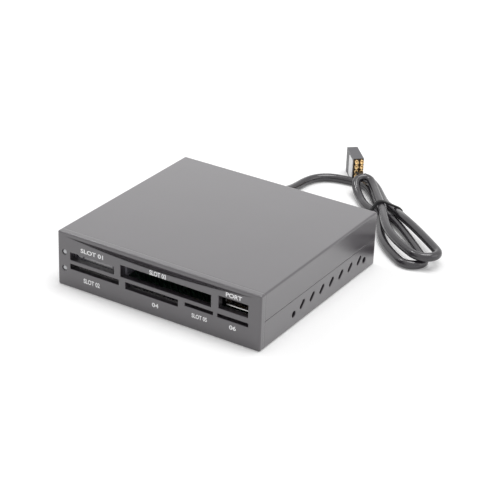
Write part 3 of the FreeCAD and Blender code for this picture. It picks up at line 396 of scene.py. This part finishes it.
def add(tree, kind, inputs=(), **settings):
    """Adds a node, sets it, and gives its sockets values or links from other sockets."""
    node = tree.nodes.new(kind)
    for name, value in settings.items():
        setattr(node, name, value)
    for socket, value in dict(inputs).items():
        if isinstance(value, bpy.types.NodeSocket):
            tree.links.new(value, node.inputs[socket])
        else:
            node.inputs[socket].default_value = value
    return node


def blank(name, **values):
    """New material with a principled shader whose plain values are set on its own sockets."""
    material = bpy.data.materials.new(name)
    material.use_nodes = True
    tree = material.node_tree
    shader = tree.nodes["Principled BSDF"]
    for socket, value in values.items():
        shader.inputs[socket.replace("_", " ")].default_value = value
    return material, tree, shader


def finish(tree, shader, patches, tones, grain, roughness):
    """Gives a shader two tones that follow one pattern and a roughness that follows another."""
    tint = add(
        tree,
        "ShaderNodeMix",
        {MIX_SHARE: patches.outputs["Fac"], MIX_FIRST: tones[0], MIX_SECOND: tones[1]},
        data_type="RGBA",
    )
    gloss = add(
        tree,
        "ShaderNodeMapRange",
        {"Value": grain.outputs["Fac"], "To Min": roughness[0], "To Max": roughness[1]},
    )
    tree.links.new(tint.outputs[MIX_RESULT], shader.inputs["Base Color"])
    tree.links.new(gloss.outputs["Result"], shader.inputs["Roughness"])


def satin_moulded_abs(colour):
    # ABS from a spark-eroded mould: a soft sheen, an even fine grain and faint clouds of the flow.
    material, tree, shader = blank(
        "satin_moulded_abs", IOR=1.62, Coat_Weight=1.0, Coat_IOR=1.62, Coat_Roughness=0.3
    )
    place = add(tree, "ShaderNodeTexCoord").outputs["Object"]
    clouds = add(
        tree, "ShaderNodeTexNoise", {"Vector": place, "Scale": per_mm(22), "Detail": 4.0}
    )
    # The real grain of 0.08 mm is too fine to show, so it is drawn at 0.45 mm.
    grain = add(
        tree,
        "ShaderNodeTexNoise",
        {"Vector": place, "Scale": per_mm(0.45), "Detail": 4.0, "Roughness": 0.6},
    )
    finish(tree, shader, clouds, (shade(colour, 0.85), shade(colour, 1.15)), grain, (0.26, 0.38))
    # Moulded edges are a little round, and catch the light over a band of 0.9 mm.
    edge = add(tree, "ShaderNodeBevel", {"Radius": 0.9 * MM}, samples=8)
    relief = add(
        tree,
        "ShaderNodeBump",
        {
            "Height": grain.outputs["Fac"],
            "Strength": 0.06,
            "Distance": 0.05 * MM,
            "Normal": edge.outputs["Normal"],
        },
    )
    tree.links.new(relief.outputs["Normal"], shader.inputs["Normal"])
    return material


def glass_filled_moulding(name, colour):
    # Glass-filled resin of sockets and plugs: a dull grey with a slight speckle of fibre ends.
    material, tree, shader = blank(name, IOR=1.6)
    place = add(tree, "ShaderNodeTexCoord").outputs["Object"]
    # The real fibres are about 0.01 mm thick, and are drawn at 0.35 mm so that they show.
    fibres = add(
        tree, "ShaderNodeTexNoise", {"Vector": place, "Scale": per_mm(0.35), "Detail": 3.0}
    )
    finish(tree, shader, fibres, (colour, shade(colour, 1.5, 0.004)), fibres, (0.32, 0.52))
    relief = add(
        tree,
        "ShaderNodeBump",
        {"Height": fibres.outputs["Fac"], "Strength": 0.15, "Distance": 0.04 * MM},
    )
    tree.links.new(relief.outputs["Normal"], shader.inputs["Normal"])
    return material


def rolled_metal(name, dull, bright, roughness, stretch):
    # Plated or rolled metal: bright, with fine lines along the strip and duller patches.
    material, tree, shader = blank(name, Metallic=1.0)
    place = add(tree, "ShaderNodeTexCoord").outputs["Object"]
    along = add(tree, "ShaderNodeMapping", {"Vector": place, "Scale": stretch})
    # The real rolling lines are about 0.02 mm apart, and are drawn at 0.2 mm so that they show.
    lines = add(
        tree,
        "ShaderNodeTexNoise",
        {"Vector": along.outputs["Vector"], "Scale": per_mm(0.2), "Detail": 3.0},
    )
    patches = add(
        tree, "ShaderNodeTexNoise", {"Vector": place, "Scale": per_mm(6), "Detail": 2.0}
    )
    finish(tree, shader, patches, (linear(dull), linear(bright)), lines, roughness)
    relief = add(
        tree,
        "ShaderNodeBump",
        {"Height": lines.outputs["Fac"], "Strength": 0.1, "Distance": 0.02 * MM},
    )
    tree.links.new(relief.outputs["Normal"], shader.inputs["Normal"])
    return material


def solder_masked_board():
    # Glass-epoxy board under green solder mask: a glossy film over a faint weave.
    material, tree, shader = blank("solder_masked_glass_epoxy", IOR=1.5)
    place = add(tree, "ShaderNodeTexCoord").outputs["Object"]
    # The real threads are about 0.5 mm apart, and are drawn a few millimetres apart to show.
    weave = add(
        tree,
        "ShaderNodeTexWave",
        {"Vector": place, "Scale": per_mm(5), "Distortion": 1.5, "Detail": 2.0},
        bands_direction="DIAGONAL",
    )
    finish(tree, shader, weave, (linear("#101f16"), linear("#17291d")), weave, (0.22, 0.36))
    return material


def frosted_epoxy_lamp():
    # Cast epoxy of an indicator lamp: milky, with a smooth glossy dome and a faint painted glow.
    material, tree, shader = blank(
        "frosted_cast_epoxy",
        IOR=1.5,
        Coat_Weight=0.3,
        # Painted glow: a faint white emission that lifts the dome's shaded side, in place of light
        # scattered in the frosted epoxy.
        Emission_Color=linear("#f4f6f8"),
        Emission_Strength=0.05,
    )
    place = add(tree, "ShaderNodeTexCoord").outputs["Object"]
    haze = add(tree, "ShaderNodeTexNoise", {"Vector": place, "Scale": per_mm(1.2), "Detail": 3.0})
    finish(tree, shader, haze, (linear("#b4b5b8"), linear("#d3d4d7")), haze, (0.22, 0.4))
    return material


def extruded_pvc(colour):
    # Extruded PVC jacket: satin, a little waxy, with a slightly uneven skin and faint smudges.
    material, tree, shader = blank("extruded_pvc", IOR=1.7)
    place = add(tree, "ShaderNodeTexCoord").outputs["Object"]
    smudges = add(
        tree, "ShaderNodeTexNoise", {"Vector": place, "Scale": per_mm(7), "Detail": 4.0}
    )
    # The real skin is uneven over about 0.1 mm, and is drawn at 0.6 mm so that it shows.
    skin = add(tree, "ShaderNodeTexNoise", {"Vector": place, "Scale": per_mm(0.6), "Detail": 3.0})
    finish(tree, shader, smudges, (shade(colour, 0.8), shade(colour, 1.2)), skin, (0.16, 0.3))
    relief = add(
        tree,
        "ShaderNodeBump",
        {"Height": skin.outputs["Fac"], "Strength": 0.3, "Distance": 0.08 * MM},
    )
    tree.links.new(relief.outputs["Normal"], shader.inputs["Normal"])
    return material


def mottled_plastic(name, first, second, roughness, mottle):
    # Plain moulded or coated plastic: two close tones in soft mottles and an uneven gloss.
    material, tree, shader = blank(name, IOR=1.5)
    place = add(tree, "ShaderNodeTexCoord").outputs["Object"]
    mottles = add(
        tree, "ShaderNodeTexNoise", {"Vector": place, "Scale": per_mm(mottle), "Detail": 3.0}
    )
    finish(tree, shader, mottles, (linear(first), linear(second)), mottles, roughness)
    return material


def seen_directly(tree):
    """Socket that is one for camera, glossy and transmitted rays, and none for lighting rays."""
    rays = add(tree, "ShaderNodeLightPath").outputs
    mirrored = add(
        tree,
        "ShaderNodeMath",
        {0: rays["Is Camera Ray"], 1: rays["Is Glossy Ray"]},
        operation="MAXIMUM",
    )
    shown = add(
        tree,
        "ShaderNodeMath",
        {0: mirrored.outputs[0], 1: rays["Is Transmission Ray"]},
        operation="MAXIMUM",
    )
    return shown.outputs[0]


def matt_white_paper(level):
    # Seamless studio paper: dull and white, a little brighter to the eye than the light it returns.
    material = mottled_plastic(
        "matt_white_paper", "#f6f6f6", "#f9f9f9", roughness=(0.85, 0.95), mottle=40
    )
    tree = material.node_tree
    share = add(tree, "ShaderNodeMath", {0: seen_directly(tree), 1: level}, operation="MULTIPLY")
    glow = add(
        tree, "ShaderNodeEmission", {"Color": linear("#ffffff"), "Strength": share.outputs[0]}
    )
    shader = tree.nodes["Principled BSDF"]
    both = add(tree, "ShaderNodeAddShader", {0: shader.outputs[0], 1: glow.outputs[0]})
    tree.links.new(both.outputs[0], tree.nodes["Material Output"].inputs["Surface"])
    return material


def dress(material, *names):
    """Puts a material on the slots of CAD nodes."""
    for name in names:
        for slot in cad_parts[name].material_slots:
            slot.material = material


def piece(name, data, material):
    """New object that rides on the reader and wears the material that it is given."""
    item = bpy.data.objects.new(name, data)
    bpy.context.scene.collection.objects.link(item)
    data.materials.append(material)
    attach(item, "root")
    return item


def block(form, middle, size):
    """Adds a block to a form and gives its corners."""
    placed = Matrix.Translation(middle) @ Matrix.Diagonal((*size, 1.0))
    return bmesh.ops.create_cube(form, size=1.0, matrix=placed)["verts"]


def bridge(form, ring, after):
    """Closes the band between two rings of corners."""
    count = len(ring)
    for k in range(count):
        form.faces.new((ring[k], ring[(k + 1) % count], after[(k + 1) % count], after[k]))


def use_material(corners, index):
    """Gives all faces at some corners one of their mesh's materials."""
    for face in {face for corner in corners for face in corner.link_faces}:
        face.material_index = index


def settle(form, name, axes):
    """New mesh from a form that was drawn in millimetres on some axes."""
    bmesh.ops.recalc_face_normals(form, faces=form.faces)
    bmesh.ops.transform(form, matrix=axes @ Matrix.Scale(MM, 4), verts=form.verts)
    mesh = bpy.data.meshes.new(name)
    form.to_mesh(mesh)
    form.free()
    return mesh


def place_on(axes, *point):
    """Point in the scene for a place in millimetres on some axes."""
    return axes @ (Vector(point) * MM)


def turn(reach, tip, belly, swing, bow, levels, side):
    """Points of one turn of the hank, out along one leg, round its tip and back along the other."""
    points = []
    last = LEG_STEPS + TIP_STEPS
    for step in range(last, -last - 1, -1):
        if abs(step) <= TIP_STEPS:
            angle = math.radians(90 * step / TIP_STEPS)
            along = reach - tip + tip * math.cos(angle)
            across = tip * math.sin(angle)
        else:
            share = (last + 1 - abs(step)) / (LEG_STEPS + 1)
            along = (reach - tip) * share
            swell = belly * math.sin(math.pi * share)
            across = math.copysign(tip * math.sqrt(share) + swell, step)
        across = side * across + bow * math.sin(math.pi * along / reach)
        level = levels[0] + (levels[1] - levels[0]) * (last - step) / (2 * last)
        turned = Matrix.Rotation(math.radians(swing), 2) @ Vector((along, across))
        points.append((turned.x, turned.y, level))
    return points


def lead_route(sizes):
    """Control places of the lead, from the grommet over the floor and through its tied turns."""
    lower_sizes = (sizes.lower_reach, sizes.lower_tip, sizes.lower_belly)
    upper_sizes = (sizes.upper_reach, sizes.upper_tip, sizes.upper_belly)
    lower = turn(*[size / MM for size in lower_sizes], **LOWER_TURN)
    upper = turn(*[size / MM for size in upper_sizes], **UPPER_TURN)
    hank = list(STRAND_IN)
    hank += [(0.0, *TIED["lower_out"])] + lower + [(0.0, *TIED["lower_back"])]
    hank += list(ARCH)
    hank += [(0.0, *TIED["upper_out"])] + upper + [(0.0, *TIED["upper_back"])]
    hank += list(STRAND_OUT)
    route = [Vector(point) * MM for point in (LEAD_EXIT, *LEAD_ROUTE)]
    return route + [place_on(HANK_AXES, *point) for point in hank]


def wire_runs(route):
    """Control places of the wires that fan out from the end of the lead to their crimps."""
    aim = (route[-1] - route[-2]).normalized()
    beside = aim.cross(Vector((0.0, 0.0, 1.0))).normalized()
    above = beside.cross(aim)
    runs = []
    for k, (across, level) in enumerate(WIRED):
        # The first wire leaves at the foot of the lead.
        angle = math.radians(360 * k / len(WIRED) - 90)
        out = beside * math.cos(angle) + above * math.sin(angle)
        start = route[-1] + out * WIRE_CIRCLE * MM
        bend = place_on(PLUG_AXES, CRIMP_REAR - WIRE_BEND, across, level)
        end = place_on(PLUG_AXES, CRIMP_REAR + WIRE_GRIP, across, level)
        runs.append([start, start + aim * WIRE_START * MM, bend, end])
    return runs


def smooth_run(line, places):
    """Adds one open smooth spline along some control places to a curve."""
    spline = line.splines.new("NURBS")
    spline.points.add(len(places) - 1)
    for control, place in zip(spline.points, places):
        control.co = (*place, 1.0)
    spline.order_u = 3
    spline.use_endpoint_u = True


def round_line(name, diameter, runs):
    """Curve data for round lines of one diameter along smooth runs of control places."""
    line = bpy.data.curves.new(name, "CURVE")
    line.dimensions = "3D"
    line.bevel_depth = diameter / 2
    line.bevel_resolution = 6
    line.resolution_u = 12
    line.use_fill_caps = True
    for places in runs:
        smooth_run(line, places)
    return line


class READER_OT_dress_housing(Operator):
    """Gives the bezel, both halves of the housing and the screws their finishes"""

    bl_idname = "reader.dress_housing"
    bl_label = "Dress housing"

    def execute(self, context):
        abs_skin = satin_moulded_abs(context.scene.reader_finish.housing[:])
        dress(abs_skin, "front_bezel", "top_cover", "bottom_tray")
        # Zinc-plated steel: grey and bright, with a slight cloud.
        zinc = rolled_metal(
            "zinc_plated_steel",
            "#a2a3a6",
            "#c6c7c9",
            roughness=(0.25, 0.42),
            stretch=(1.0, 1.0, 0.3),
        )
        dress(zinc, "case_screws", "board_screws")
        return {"FINISHED"}


class READER_OT_dress_sockets(Operator):
    """Gives the card sockets, the data port and the lamps their finishes"""

    bl_idname = "reader.dress_sockets"
    bl_label = "Dress sockets"

    def execute(self, context):
        bodies = [f"{name}_socket_base" for name in FLAT_SOCKETS]
        shields = [f"{name}_socket_shield" for name in FLAT_SOCKETS]
        springs = [f"{name}_socket_contacts" for name in FLAT_SOCKETS]
        # Moulded liquid crystal polymer: a dull mid grey.
        moulding = glass_filled_moulding("moulded_lcp", context.scene.reader_finish.moulding[:])
        dress(moulding, "large_socket_frame", "port_insulator", *bodies)
        # Tinned spring steel: pale and bright, with lines along the strip.
        tinned = rolled_metal(
            "tinned_spring_steel",
            "#bdbcbb",
            "#d9d8d6",
            roughness=(0.18, 0.36),
            stretch=(1.0, 0.08, 1.0),
        )
        dress(tinned, "port_shell", *shields)
        # Gold-plated bronze: a warm yellow shine.
        gold = rolled_metal(
            "gold_plated_bronze",
            "#d9a95a",
            "#f4cf86",
            roughness=(0.16, 0.32),
            stretch=(1.0, 0.1, 1.0),
        )
        dress(gold, "large_socket_pins", "port_contacts", *springs)
        dress(frosted_epoxy_lamp(), "upper_lamp", "lower_lamp")
        return {"FINISHED"}


class READER_OT_fit_flap(Operator):
    """Fits the dust flap with its two pins and its bright lip in the stick mouth"""

    bl_idname = "reader.fit_flap"
    bl_label = "Fit flap"

    def execute(self, context):
        form = bmesh.new()
        front, foot = FLAP_FOOT
        outline = [form.verts.new((x, front + FLAP_LEAN * (z - foot), z)) for x, z in FLAP]
        plate = bmesh.ops.extrude_face_region(form, geom=[form.faces.new(outline)])
        rear = [part for part in plate["geom"] if isinstance(part, bmesh.types.BMVert)]
        bmesh.ops.translate(form, verts=rear, vec=(0.0, FLAP_THICKNESS, 0.0))
        facing = Matrix.Rotation(math.radians(90), 4, "X")
        for x in FLAP_PINS:
            placed = Matrix.Translation((x, *FLAP_PIN_SEAT)) @ facing
            pin = bmesh.ops.create_cone(form, cap_ends=True, matrix=placed, **FLAP_PIN)
            use_material(pin["verts"], FLAP_PIN_MATERIAL)
        use_material(block(form, FLAP_LIP_MIDDLE, FLAP_LIP_SIZE), FLAP_LIP_MATERIAL)
        mesh = settle(form, "stick_flap", Matrix.Identity(4))
        # Moulded acetal: a pale grey, dull and a little waxy.
        acetal = mottled_plastic(
            "moulded_grey_acetal", "#d2d1d4", "#e8e7ea", roughness=(0.4, 0.6), mottle=0.8
        )
        piece("stick_flap", mesh, acetal)
        mesh.materials.append(bpy.data.materials["moulded_lcp"])
        mesh.materials.append(bpy.data.materials["tinned_spring_steel"])
        return {"FINISHED"}


class READER_OT_dress_board(Operator):
    """Gives the circuit board and the parts on it their finishes"""

    bl_idname = "reader.dress_board"
    bl_label = "Dress board"

    def execute(self, context):
        dress(solder_masked_board(), "main_board")
        # Tinned copper: pale, and slightly dull from the dipping.
        tin = rolled_metal(
            "tinned_copper", "#b4b3b0", "#d4d3d0", roughness=(0.25, 0.45), stretch=(1.0, 1.0, 1.0)
        )
        dress(tin, "lamp_leads", "chip_legs", "connector_pins")
        # Moulded epoxy: nearly black and dull.
        epoxy = mottled_plastic(
            "moulded_epoxy", "#1d1c1e", "#29282b", roughness=(0.42, 0.58), mottle=0.6
        )
        dress(epoxy, "controller_chip", "regulator", "chip_resistors")
        # Drawn aluminium: pale and bright, with lines down its sides.
        can = rolled_metal(
            "drawn_aluminium", "#c4c5c8", "#dcdddf", roughness=(0.22, 0.38), stretch=(1.0, 1.0, 0.1)
        )
        dress(can, "crystal", "capacitors")
        # Natural nylon: a milky cream with a soft sheen.
        nylon = mottled_plastic(
            "natural_nylon", "#ddd6c4", "#e8e2d2", roughness=(0.38, 0.5), mottle=2.5
        )
        dress(nylon, "board_connector", "connector_plug")
        return {"FINISHED"}


class READER_OT_print_marks(Operator):
    """Prints a plain mark beside each mouth of the bezel"""

    bl_idname = "reader.print_marks"
    bl_label = "Print marks"

    def execute(self, context):
        # Pad-printed ink: white, thin and dull.
        ink = mottled_plastic(
            "pad_printed_ink", "#efeef0", "#ffffff", roughness=(0.45, 0.6), mottle=0.5
        )
        for name, (words, left, right, foot, head) in MARKS.items():
            letters = bpy.data.curves.new(name, "FONT")
            letters.body = words
            letters.extrude = LETTER_DEPTH
            letters.offset = LETTER_WEIGHT
            form = bpy.data.objects.new(name + ".form", letters)
            context.scene.collection.objects.link(form)
            context.view_layer.update()
            drawn = form.evaluated_get(context.evaluated_depsgraph_get())
            mesh = bpy.data.meshes.new_from_object(drawn)
            bpy.data.objects.remove(form)
            low = [min(v.co[k] for v in mesh.vertices) for k in range(3)]
            high = [max(v.co[k] for v in mesh.vertices) for k in range(3)]
            for vertex in mesh.vertices:
                share = [(vertex.co[k] - low[k]) / (high[k] - low[k]) for k in range(3)]
                vertex.co = (
                    (left + (right - left) * share[0]) * MM,
                    FRONT - INK_HEIGHT * MM * share[2],
                    (foot + (head - foot) * share[1]) * MM,
                )
            mesh.name = name
            piece(name, mesh, ink)
        return {"FINISHED"}


class READER_OT_dress_plug(Operator):
    """Gives the header plug its finish and crimps its contacts"""

    bl_idname = "reader.dress_plug"
    bl_label = "Dress plug"

    def execute(self, context):
        # Moulded PBT: a dull dark grey.
        shell = glass_filled_moulding("moulded_pbt", context.scene.reader_finish.plug[:])
        dress(shell, "header_plug")
        form = bmesh.new()
        for across, level in WAYS:
            rings = []
            for into, radius in BARREL:
                ring = []
                for step in range(BARREL_SIDES):
                    angle = math.radians(360 * step / BARREL_SIDES)
                    beside = across + radius * math.cos(angle)
                    above = level + BARREL_RISE * radius * math.sin(angle)
                    ring.append(form.verts.new((into, beside, above)))
                rings.append(ring)
            for ring, after in zip(rings, rings[1:]):
                bridge(form, ring, after)
        mesh = settle(form, "crimp_barrels", PLUG_AXES)
        mesh.shade_smooth()
        # Gold-plated crimps: a pale yellow shine on strip that is rolled round the wire.
        gold = rolled_metal(
            "gold_plated_crimp",
            "#f6c986",
            "#ffe2ae",
            roughness=(0.28, 0.44),
            stretch=(1.0, 1.0, 0.1),
        )
        barrels = piece("crimp_barrels", mesh, gold)
        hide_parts("plug_contacts")
        return {"FINISHED"}


class READER_OT_stick_label(Operator):
    """Sticks the pale label on the side of the header plug"""

    bl_idname = "reader.stick_label"
    bl_label = "Stick label"

    def execute(self, context):
        form = bmesh.new()
        block(form, LABEL_MIDDLE, LABEL_SIZE)
        corners = []
        for edge in form.edges:
            one, other = edge.verts
            if abs(one.co.y - other.co.y) > LABEL_SIZE[1] / 2:
                corners.append(edge)
        bmesh.ops.bevel(
            form, geom=corners, offset=LABEL_CORNER, segments=4, profile=0.5, affect="EDGES"
        )
        mesh = settle(form, "plug_label", PLUG_AXES)
        # Polyester film: white, with a soft gloss.
        film = mottled_plastic(
            "white_polyester_film", "#f1f1f2", "#fbfbfc", roughness=(0.25, 0.4), mottle=3.0
        )
        piece("plug_label", mesh, film)
        return {"FINISHED"}


class READER_OT_lay_lead(Operator):
    """Lays the lead from the grommet to its tied hank and on to the plug"""

    bl_idname = "reader.lay_lead"
    bl_label = "Lay lead"

    def execute(self, context):
        sizes = context.scene.reader_lead
        route = lead_route(sizes)
        jacket = extruded_pvc(context.scene.reader_finish.jacket[:])
        line = round_line("reader_lead", sizes.diameter, [route])
        lead = piece("reader_lead", line, jacket)
        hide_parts("cable_lead", "cable_hank")
        # Extruded wire insulation: black, with a soft sheen.
        insulation = mottled_plastic(
            "extruded_wire_insulation", "#1c1b1d", "#2a292c", roughness=(0.34, 0.46), mottle=1.5
        )
        fan = round_line("fanned_wires", sizes.wire, wire_runs(route))
        wires = piece("fanned_wires", fan, insulation)
        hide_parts("plug_wires")
        dress(jacket, "inner_lead", "lead_grommet")
        dress(insulation, "inner_wires")
        return {"FINISHED"}


class READER_OT_fit_tie(Operator):
    """Pulls the tie round the four strands of the hank"""

    bl_idname = "reader.fit_tie"
    bl_label = "Fit tie"

    def execute(self, context):
        sizes = context.scene.reader_tie
        strand = context.scene.reader_lead.diameter / 2 / MM + TIE_SLACK
        thick = sizes.thickness / MM
        half = sizes.width / MM / 2
        rim = [(-half, 0.0), (-half, thick * TIE_UPRIGHT), (TIE_CHAMFER - half, thick)]
        rim += [(-along, out) for along, out in reversed(rim)]
        tied = [Vector(place) for place in TIED.values()]
        form = bmesh.new()
        rings = []
        for step in range(TIE_STEPS):
            angle = 2 * math.pi * step / TIE_STEPS
            aim = Vector((math.cos(angle), math.sin(angle)))
            outer = max(tied, key=lambda place: place.dot(aim))
            ring = []
            for along, out in rim:
                across, level = outer + aim * (strand + out)
                corner = (along + sizes.slant * across, across, max(level, 0.0))
                ring.append(form.verts.new(corner))
            rings.append(ring)
        for ring, after in zip(rings, rings[1:] + rings[:1]):
            bridge(form, ring, after)
        # The head sits low on the far side, behind the strands.
        seat = max(across for across, level in TIED.values()) + strand + thick
        middle = (sizes.slant * seat, seat + TIE_HEAD_REACH, TIE_HEAD_LEVEL)
        head = block(form, middle, TIE_HEAD_SIZE)
        edges = {edge for corner in head for edge in corner.link_edges}
        bmesh.ops.bevel(
            form, geom=list(edges), offset=TIE_HEAD_ROUND, segments=3, profile=0.5, affect="EDGES"
        )
        mesh = settle(form, "tie_strap", HANK_AXES)
        # Moulded black nylon: nearly black and dull.
        nylon = mottled_plastic(
            "moulded_black_nylon", "#0e0e0f", "#161517", roughness=(0.5, 0.65), mottle=1.2
        )
        strap = piece("tie_strap", mesh, nylon)
        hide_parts("cable_tie")
        return {"FINISHED"}


class READER_OT_set_stage(Operator):
    """Sets the floor, the lamps, the pale room and the camera"""

    bl_idname = "reader.set_stage"
    bl_label = "Set stage"

    def execute(self, context):
        scene = context.scene
        levels = scene.reader_stage
        scene.view_settings.view_transform = "Standard"
        form = bmesh.new()
        bmesh.ops.create_grid(
            form, x_segments=FLOOR_CELLS, y_segments=FLOOR_CELLS, size=FLOOR_REACH
        )
        mesh = bpy.data.meshes.new("studio_floor")
        form.to_mesh(mesh)
        form.free()
        floor = bpy.data.objects.new("studio_floor", mesh)
        scene.collection.objects.link(floor)
        mesh.materials.append(matt_white_paper(levels.paper))
        for name, (place, width, level) in LAMPS.items():
            lamp = bpy.data.lights.new(name, "AREA")
            lamp.shape = "SQUARE"
            lamp.size = width
            lamp.energy = getattr(levels, level)
            holder = bpy.data.objects.new(name, lamp)
            facing = (Vector(LAMP_AIM) - Vector(place)).to_track_quat("-Z", "Y")
            holder.matrix_world = Matrix.Translation(place) @ facing.to_matrix().to_4x4()
            scene.collection.objects.link(holder)
        room = bpy.data.worlds.new("pale_room")
        room.use_nodes = True
        tree = room.node_tree
        light = tree.nodes["Background"]
        light.inputs["Color"].default_value = linear("#ffffff")
        light.inputs["Strength"].default_value = levels.surround
        seen = add(tree, "ShaderNodeBackground", {"Color": linear("#ffffff"), "Strength": 1.0})
        either = add(
            tree,
            "ShaderNodeMixShader",
            {0: seen_directly(tree), 1: light.outputs["Background"], 2: seen.outputs["Background"]},
        )
        tree.links.new(either.outputs[0], tree.nodes["World Output"].inputs["Surface"])
        scene.world = room
        lens = bpy.data.cameras.new("photo_camera")
        lens.sensor_width = CAMERA_SENSOR
        lens.lens = levels.lens
        camera = bpy.data.objects.new("photo_camera", lens)
        camera.matrix_world = Matrix(CAMERA_PLACE)
        scene.collection.objects.link(camera)
        scene.camera = camera
        return {"FINISHED"}


class READER_PT_looks(Panel):
    """Lists the steps that dress the reader and the values that they use"""

    bl_idname = "READER_PT_looks"
    bl_label = "Card reader"
    bl_space_type = "VIEW_3D"
    bl_region_type = "UI"
    bl_category = "Card reader"

    def draw(self, context):
        for group in GROUPS.values():
            values = getattr(context.scene, group)
            for name in values.__annotations__:
                self.layout.prop(values, name)
        for step in STEPS:
            self.layout.operator(step.bl_idname)


GROUPS = {
    ReaderFinish: "reader_finish",
    ReaderLead: "reader_lead",
    ReaderTie: "reader_tie",
    ReaderStage: "reader_stage",
}
STEPS = (
    READER_OT_dress_housing,
    READER_OT_dress_sockets,
    READER_OT_fit_flap,
    READER_OT_dress_board,
    READER_OT_print_marks,
    READER_OT_dress_plug,
    READER_OT_stick_label,
    READER_OT_lay_lead,
    READER_OT_fit_tie,
    READER_OT_set_stage,
)


def register():
    for group, name in GROUPS.items():
        bpy.utils.register_class(group)
        setattr(bpy.types.Scene, name, PointerProperty(type=group))
    for cls in (*STEPS, READER_PT_looks):
        bpy.utils.register_class(cls)


def unregister():
    for cls in (READER_PT_looks, *reversed(STEPS)):
        bpy.utils.unregister_class(cls)
    for group, name in GROUPS.items():
        delattr(bpy.types.Scene, name)
        bpy.utils.unregister_class(group)


def main():
    register()
    bpy.ops.reader.dress_housing()
    bpy.ops.reader.dress_sockets()
    bpy.ops.reader.fit_flap()
    bpy.ops.reader.dress_board()
    bpy.ops.reader.print_marks()
    bpy.ops.reader.dress_plug()
    bpy.ops.reader.stick_label()
    bpy.ops.reader.lay_lead()
    bpy.ops.reader.fit_tie()
    bpy.ops.reader.set_stage()


if __name__ == "__main__":
    main()
